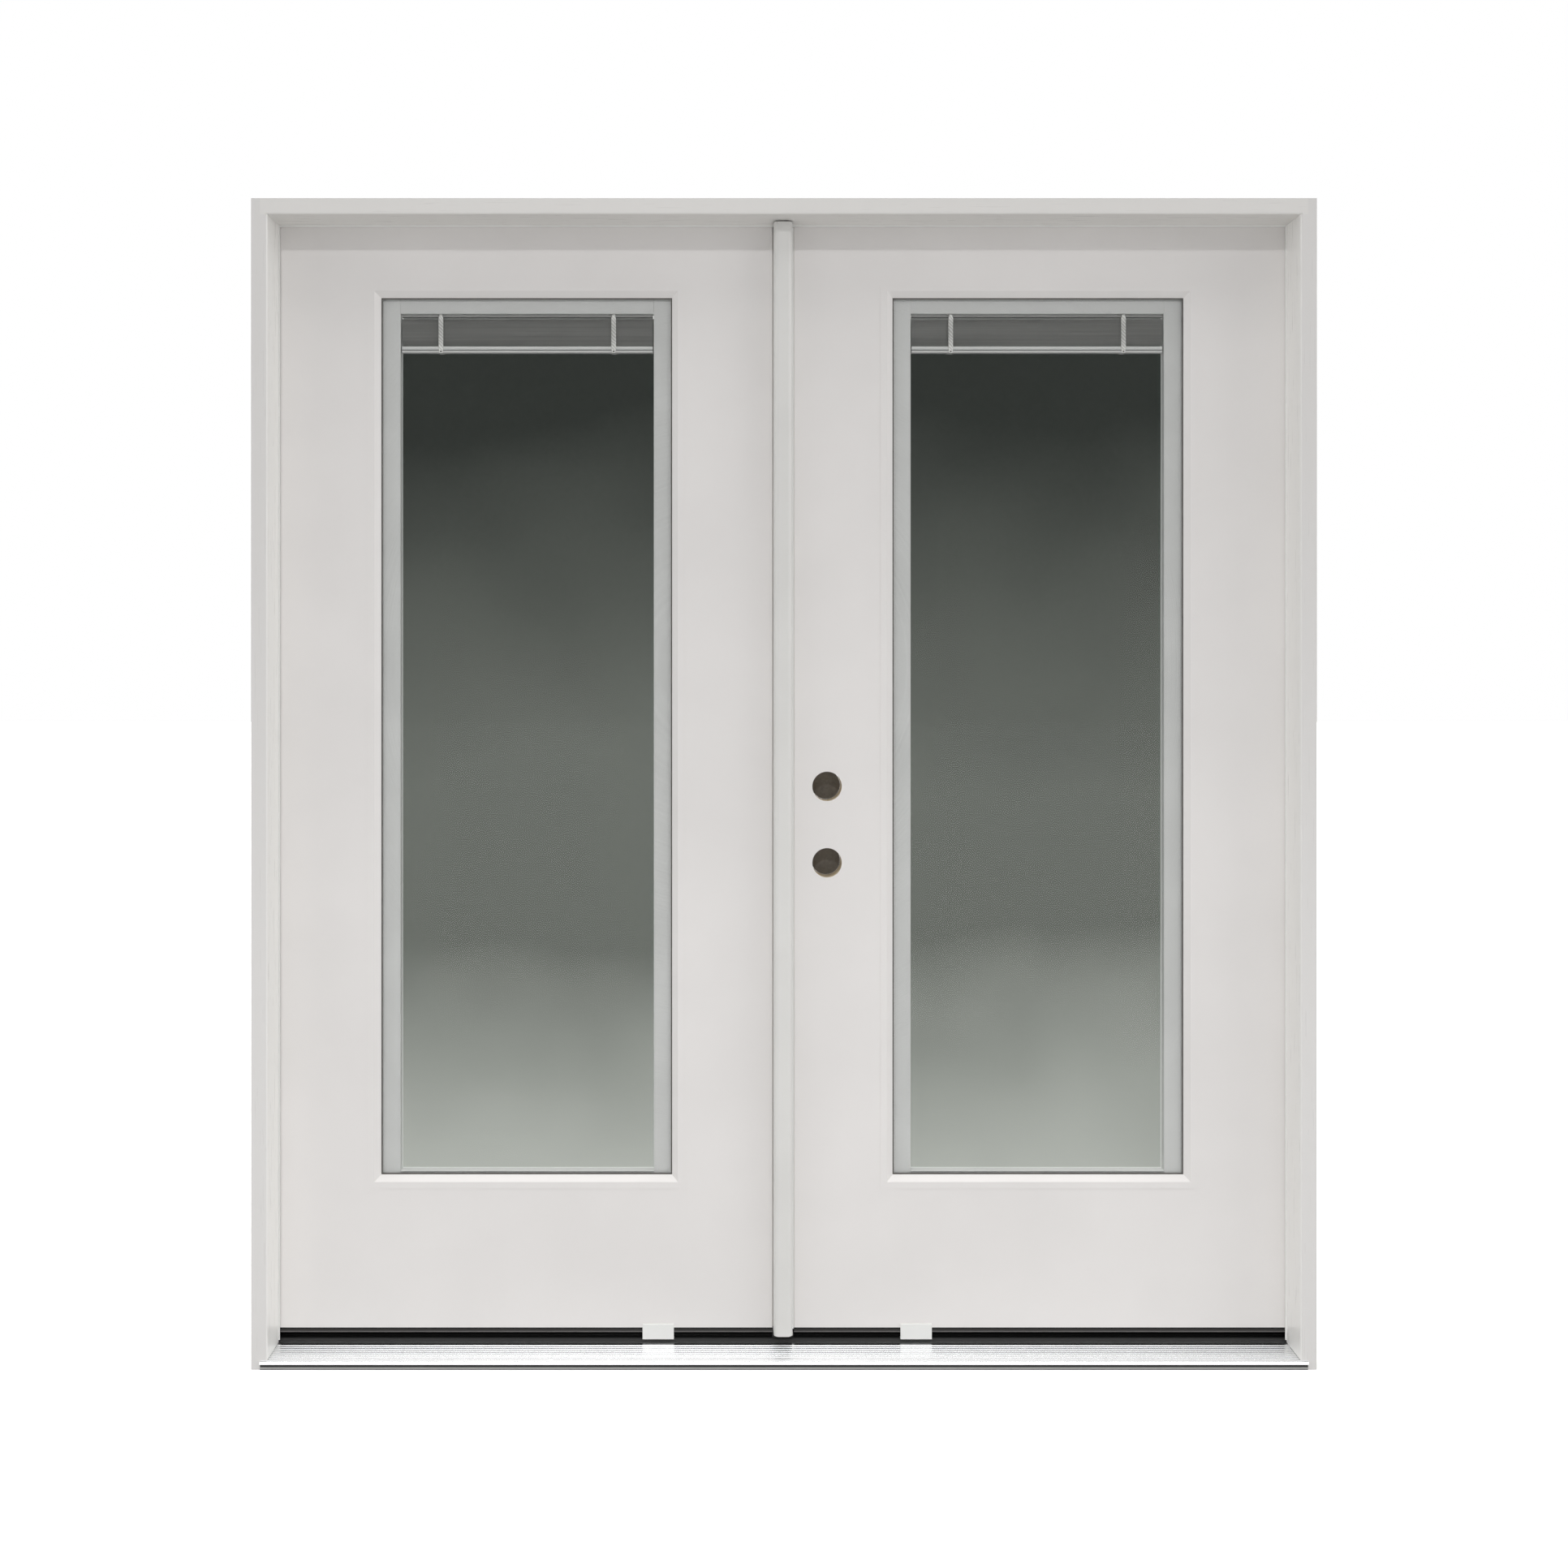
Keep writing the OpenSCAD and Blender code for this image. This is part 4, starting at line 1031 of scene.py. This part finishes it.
@dataclass
class Studio:
    """Floor, light and camera.

    Attributes:
        camera_at: the camera's place.
        lens: its focal length in millimetres.
        sensor: width of its sensor in millimetres.
        shift: how far its frame is shifted.
        clip: nearest and farthest distance that it sees.
        floor_wide: width of the floor.
        floor_under: how far the floor lies under the part.
        floor_tone: the floor's sRGB colour to the eye.
        floor_bounce: its colour in the light that it throws back.
        floor_glazed: its colour through glass, where its own light is all that shows.
        floor_glow: strength of its own light, seen without glass between and through glass.
        surround: strength of the surround as a lamp and as a background.
        suns: a high lamp in front, a wide one over it, and soft fills at the sides and the back.
        suns_at: the place of those lamps, which doesn't change their light.
        foot_at: the place of the lamp in front of the sill.
        foot_aim: the direction that it shines in.
        foot_size: its width and height.
        foot_energy: its strength in watts.
    """

    camera_at: tuple[float, float, float] = (-0.0998, -2.679, 1.253)
    lens: float = 33.83
    sensor: float = 36.0
    shift: tuple[float, float] = (0.0358, -0.0757)
    clip: tuple[float, float] = (0.05, 200.0)
    floor_wide: float = 60.0
    floor_under: float = 0.5 * MM
    floor_tone: str = "F2F2F2"
    floor_bounce: str = "B9B9B9"
    floor_glazed: str = "000000"
    floor_glow: tuple[float, float] = (0.55, 1.0)
    surround: tuple[float, float] = (0.25, 1.0)
    suns: tuple[Sun, ...] = (
        Sun("key", 0.47, 2.5, (0.06, 1.0, -math.tan(math.radians(32.5)))),
        Sun("ceiling", 2.05, 50, (0, 0.13, -0.99)),
        Sun("left_fill", 0.66, 45, (0.94, 0.34, -0.1)),
        Sun("right_fill", 1.06, 45, (-0.94, 0.34, -0.1)),
        Sun("rear_fill", 1.1, 40, (0.12, -0.92, -0.37), mirrored=False),
    )
    suns_at: tuple[float, float, float] = (0, 0, 4)
    foot_at: tuple[float, float, float] = (0, -1.5, 0.35)
    foot_aim: tuple[float, float, float] = (0, 1.0, 0.0)
    foot_size: tuple[float, float] = (3.2, 0.5)
    foot_energy: float = 5.2

    @staticmethod
    def sight(tree: Any) -> tuple[Any, Any]:
        """Tell the rays that show something to the eye, straight, mirrored or through glass.

        Args:
            tree: the node tree.

        Returns:
            The node of the kinds of ray, and the output socket that is one for such rays.
        """
        path = node(tree, "ShaderNodeLightPath")
        seen = path.outputs["Is Camera Ray"]
        for kind in ("Is Glossy Ray", "Is Transmission Ray"):
            seen = node(tree, "ShaderNodeMath", {0: seen, 1: path.outputs[kind]},
                        operation="MAXIMUM").outputs[0]
        return path, seen

    def floor(self) -> None:
        """A pale floor that keeps soft shadows and shows white to the eye, the glass and the metal."""
        Bench.clear()
        bpy.ops.mesh.primitive_plane_add(size=self.floor_wide, location=(0, 0, -self.floor_under))
        plane = bpy.context.object
        plane.name = "floor"
        paper = bpy.data.materials.new("pale_floor")
        paper.use_nodes = True
        tree = paper.node_tree
        path, seen = self.sight(tree)
        through = path.outputs["Is Transmission Ray"]
        plain, glazed = self.floor_glow
        level = node(tree, "ShaderNodeMapRange", {0: through, 3: plain, 4: glazed}).outputs[0]
        glow = node(tree, "ShaderNodeMath", {0: seen, 1: level}, operation="MULTIPLY").outputs[0]
        paint = linear(self.floor_tone)
        for ray, code in ((path.outputs["Is Diffuse Ray"], self.floor_bounce), (through, self.floor_glazed)):
            paint = node(tree, "ShaderNodeMix", {0: ray, 6: paint, 7: linear(code)},
                         data_type="RGBA").outputs[2]
        feed(tree, tree.nodes["Principled BSDF"],
             {"Base Color": paint, "Roughness": 1.0, "Specular IOR Level": 0.0,
              "Emission Color": (1, 1, 1, 1), "Emission Strength": glow})
        plane.data.materials.append(paper)

    def light(self) -> None:
        """An even pale surround, the even lamps, and a low one in front of the sill."""
        world = bpy.data.worlds.new("studio")
        world.use_nodes = True
        bpy.context.scene.world = world
        tree = world.node_tree
        lamp_level, sight_level = self.surround
        level = node(tree, "ShaderNodeMapRange",
                     {0: self.sight(tree)[1], 3: lamp_level, 4: sight_level}).outputs[0]
        feed(tree, tree.nodes["Background"], {"Color": (1, 1, 1, 1), "Strength": level})
        for sun in self.suns:
            lamp = bpy.data.lights.new(sun.name, "SUN")
            lamp.energy = sun.energy
            lamp.angle = math.radians(sun.spread)
            self.hang(lamp, Vector(self.suns_at), Vector(sun.aim)).visible_glossy = sun.mirrored
        foot = bpy.data.lights.new("low_fill", "AREA")
        foot.shape = "RECTANGLE"
        foot.size, foot.size_y = self.foot_size
        foot.energy = self.foot_energy
        self.hang(foot, Vector(self.foot_at), Vector(self.foot_aim)).visible_glossy = False

    @staticmethod
    def hang(lamp: Any, place: Vector, aim: Vector) -> Any:
        """Put a lamp in the scene, out of sight of the camera and of rays through glass.

        Args:
            lamp: the light's data.
            place: where it hangs.
            aim: the direction that it shines in.

        Returns:
            The lamp.
        """
        made = bpy.data.objects.new(lamp.name, lamp)
        made.location = place
        made.rotation_mode = "QUATERNION"
        made.rotation_quaternion = aim.to_track_quat("-Z", "Y")
        made.visible_camera = made.visible_transmission = False
        bpy.context.scene.collection.objects.link(made)
        return made

    def camera(self) -> None:
        """The photograph's view: level, square on, from left of the middle, with a shifted frame."""
        data = bpy.data.cameras.new("camera")
        data.sensor_width = self.sensor
        data.lens = self.lens
        data.shift_x, data.shift_y = self.shift
        data.clip_start, data.clip_end = self.clip
        made = bpy.data.objects.new("camera", data)
        made.location = self.camera_at
        made.rotation_euler = UPRIGHT
        bpy.context.scene.collection.objects.link(made)
        bpy.context.scene.camera = made

    def build(self) -> None:
        """Make the floor, the light and the camera."""
        self.floor()
        self.light()
        self.camera()
        bpy.context.scene.view_settings.view_transform = "Standard"


def dress_solids() -> None:
    """Give every solid of the frame its finish, and let the lamps shine through the panes."""
    for name, piece in frame["nodes"].items():
        finish = FRAME_FINISHES.get(name) or LEAF_FINISHES[name.split("_", 1)[1]]
        Bench.dress(piece, finish)
        piece.visible_shadow = not isinstance(finish, (ClearGlass, RoomShadeGlass))


def main() -> None:
    """Build the studio, dress the solids, add the new pieces and note the sizes."""
    logging.basicConfig(level=logging.INFO, format="%(name)s: %(message)s")
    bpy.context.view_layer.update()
    Studio().build()
    dress_solids()
    made = []
    for side in Side:
        made += Blind(side).build()
        made += [GlazingBead(side, inner).build() for inner in (False, True)]
    made += [SillSkirt().build(), AstragalFin().build()]
    made += [BoreShadeDisc().build(mount) for mount in ("handle_bore", "deadbolt_bore")]
    for piece in made:
        LOG.info("%s: %d faces", piece.name, len(piece.data.polygons))


if __name__ == "__main__":
    main()
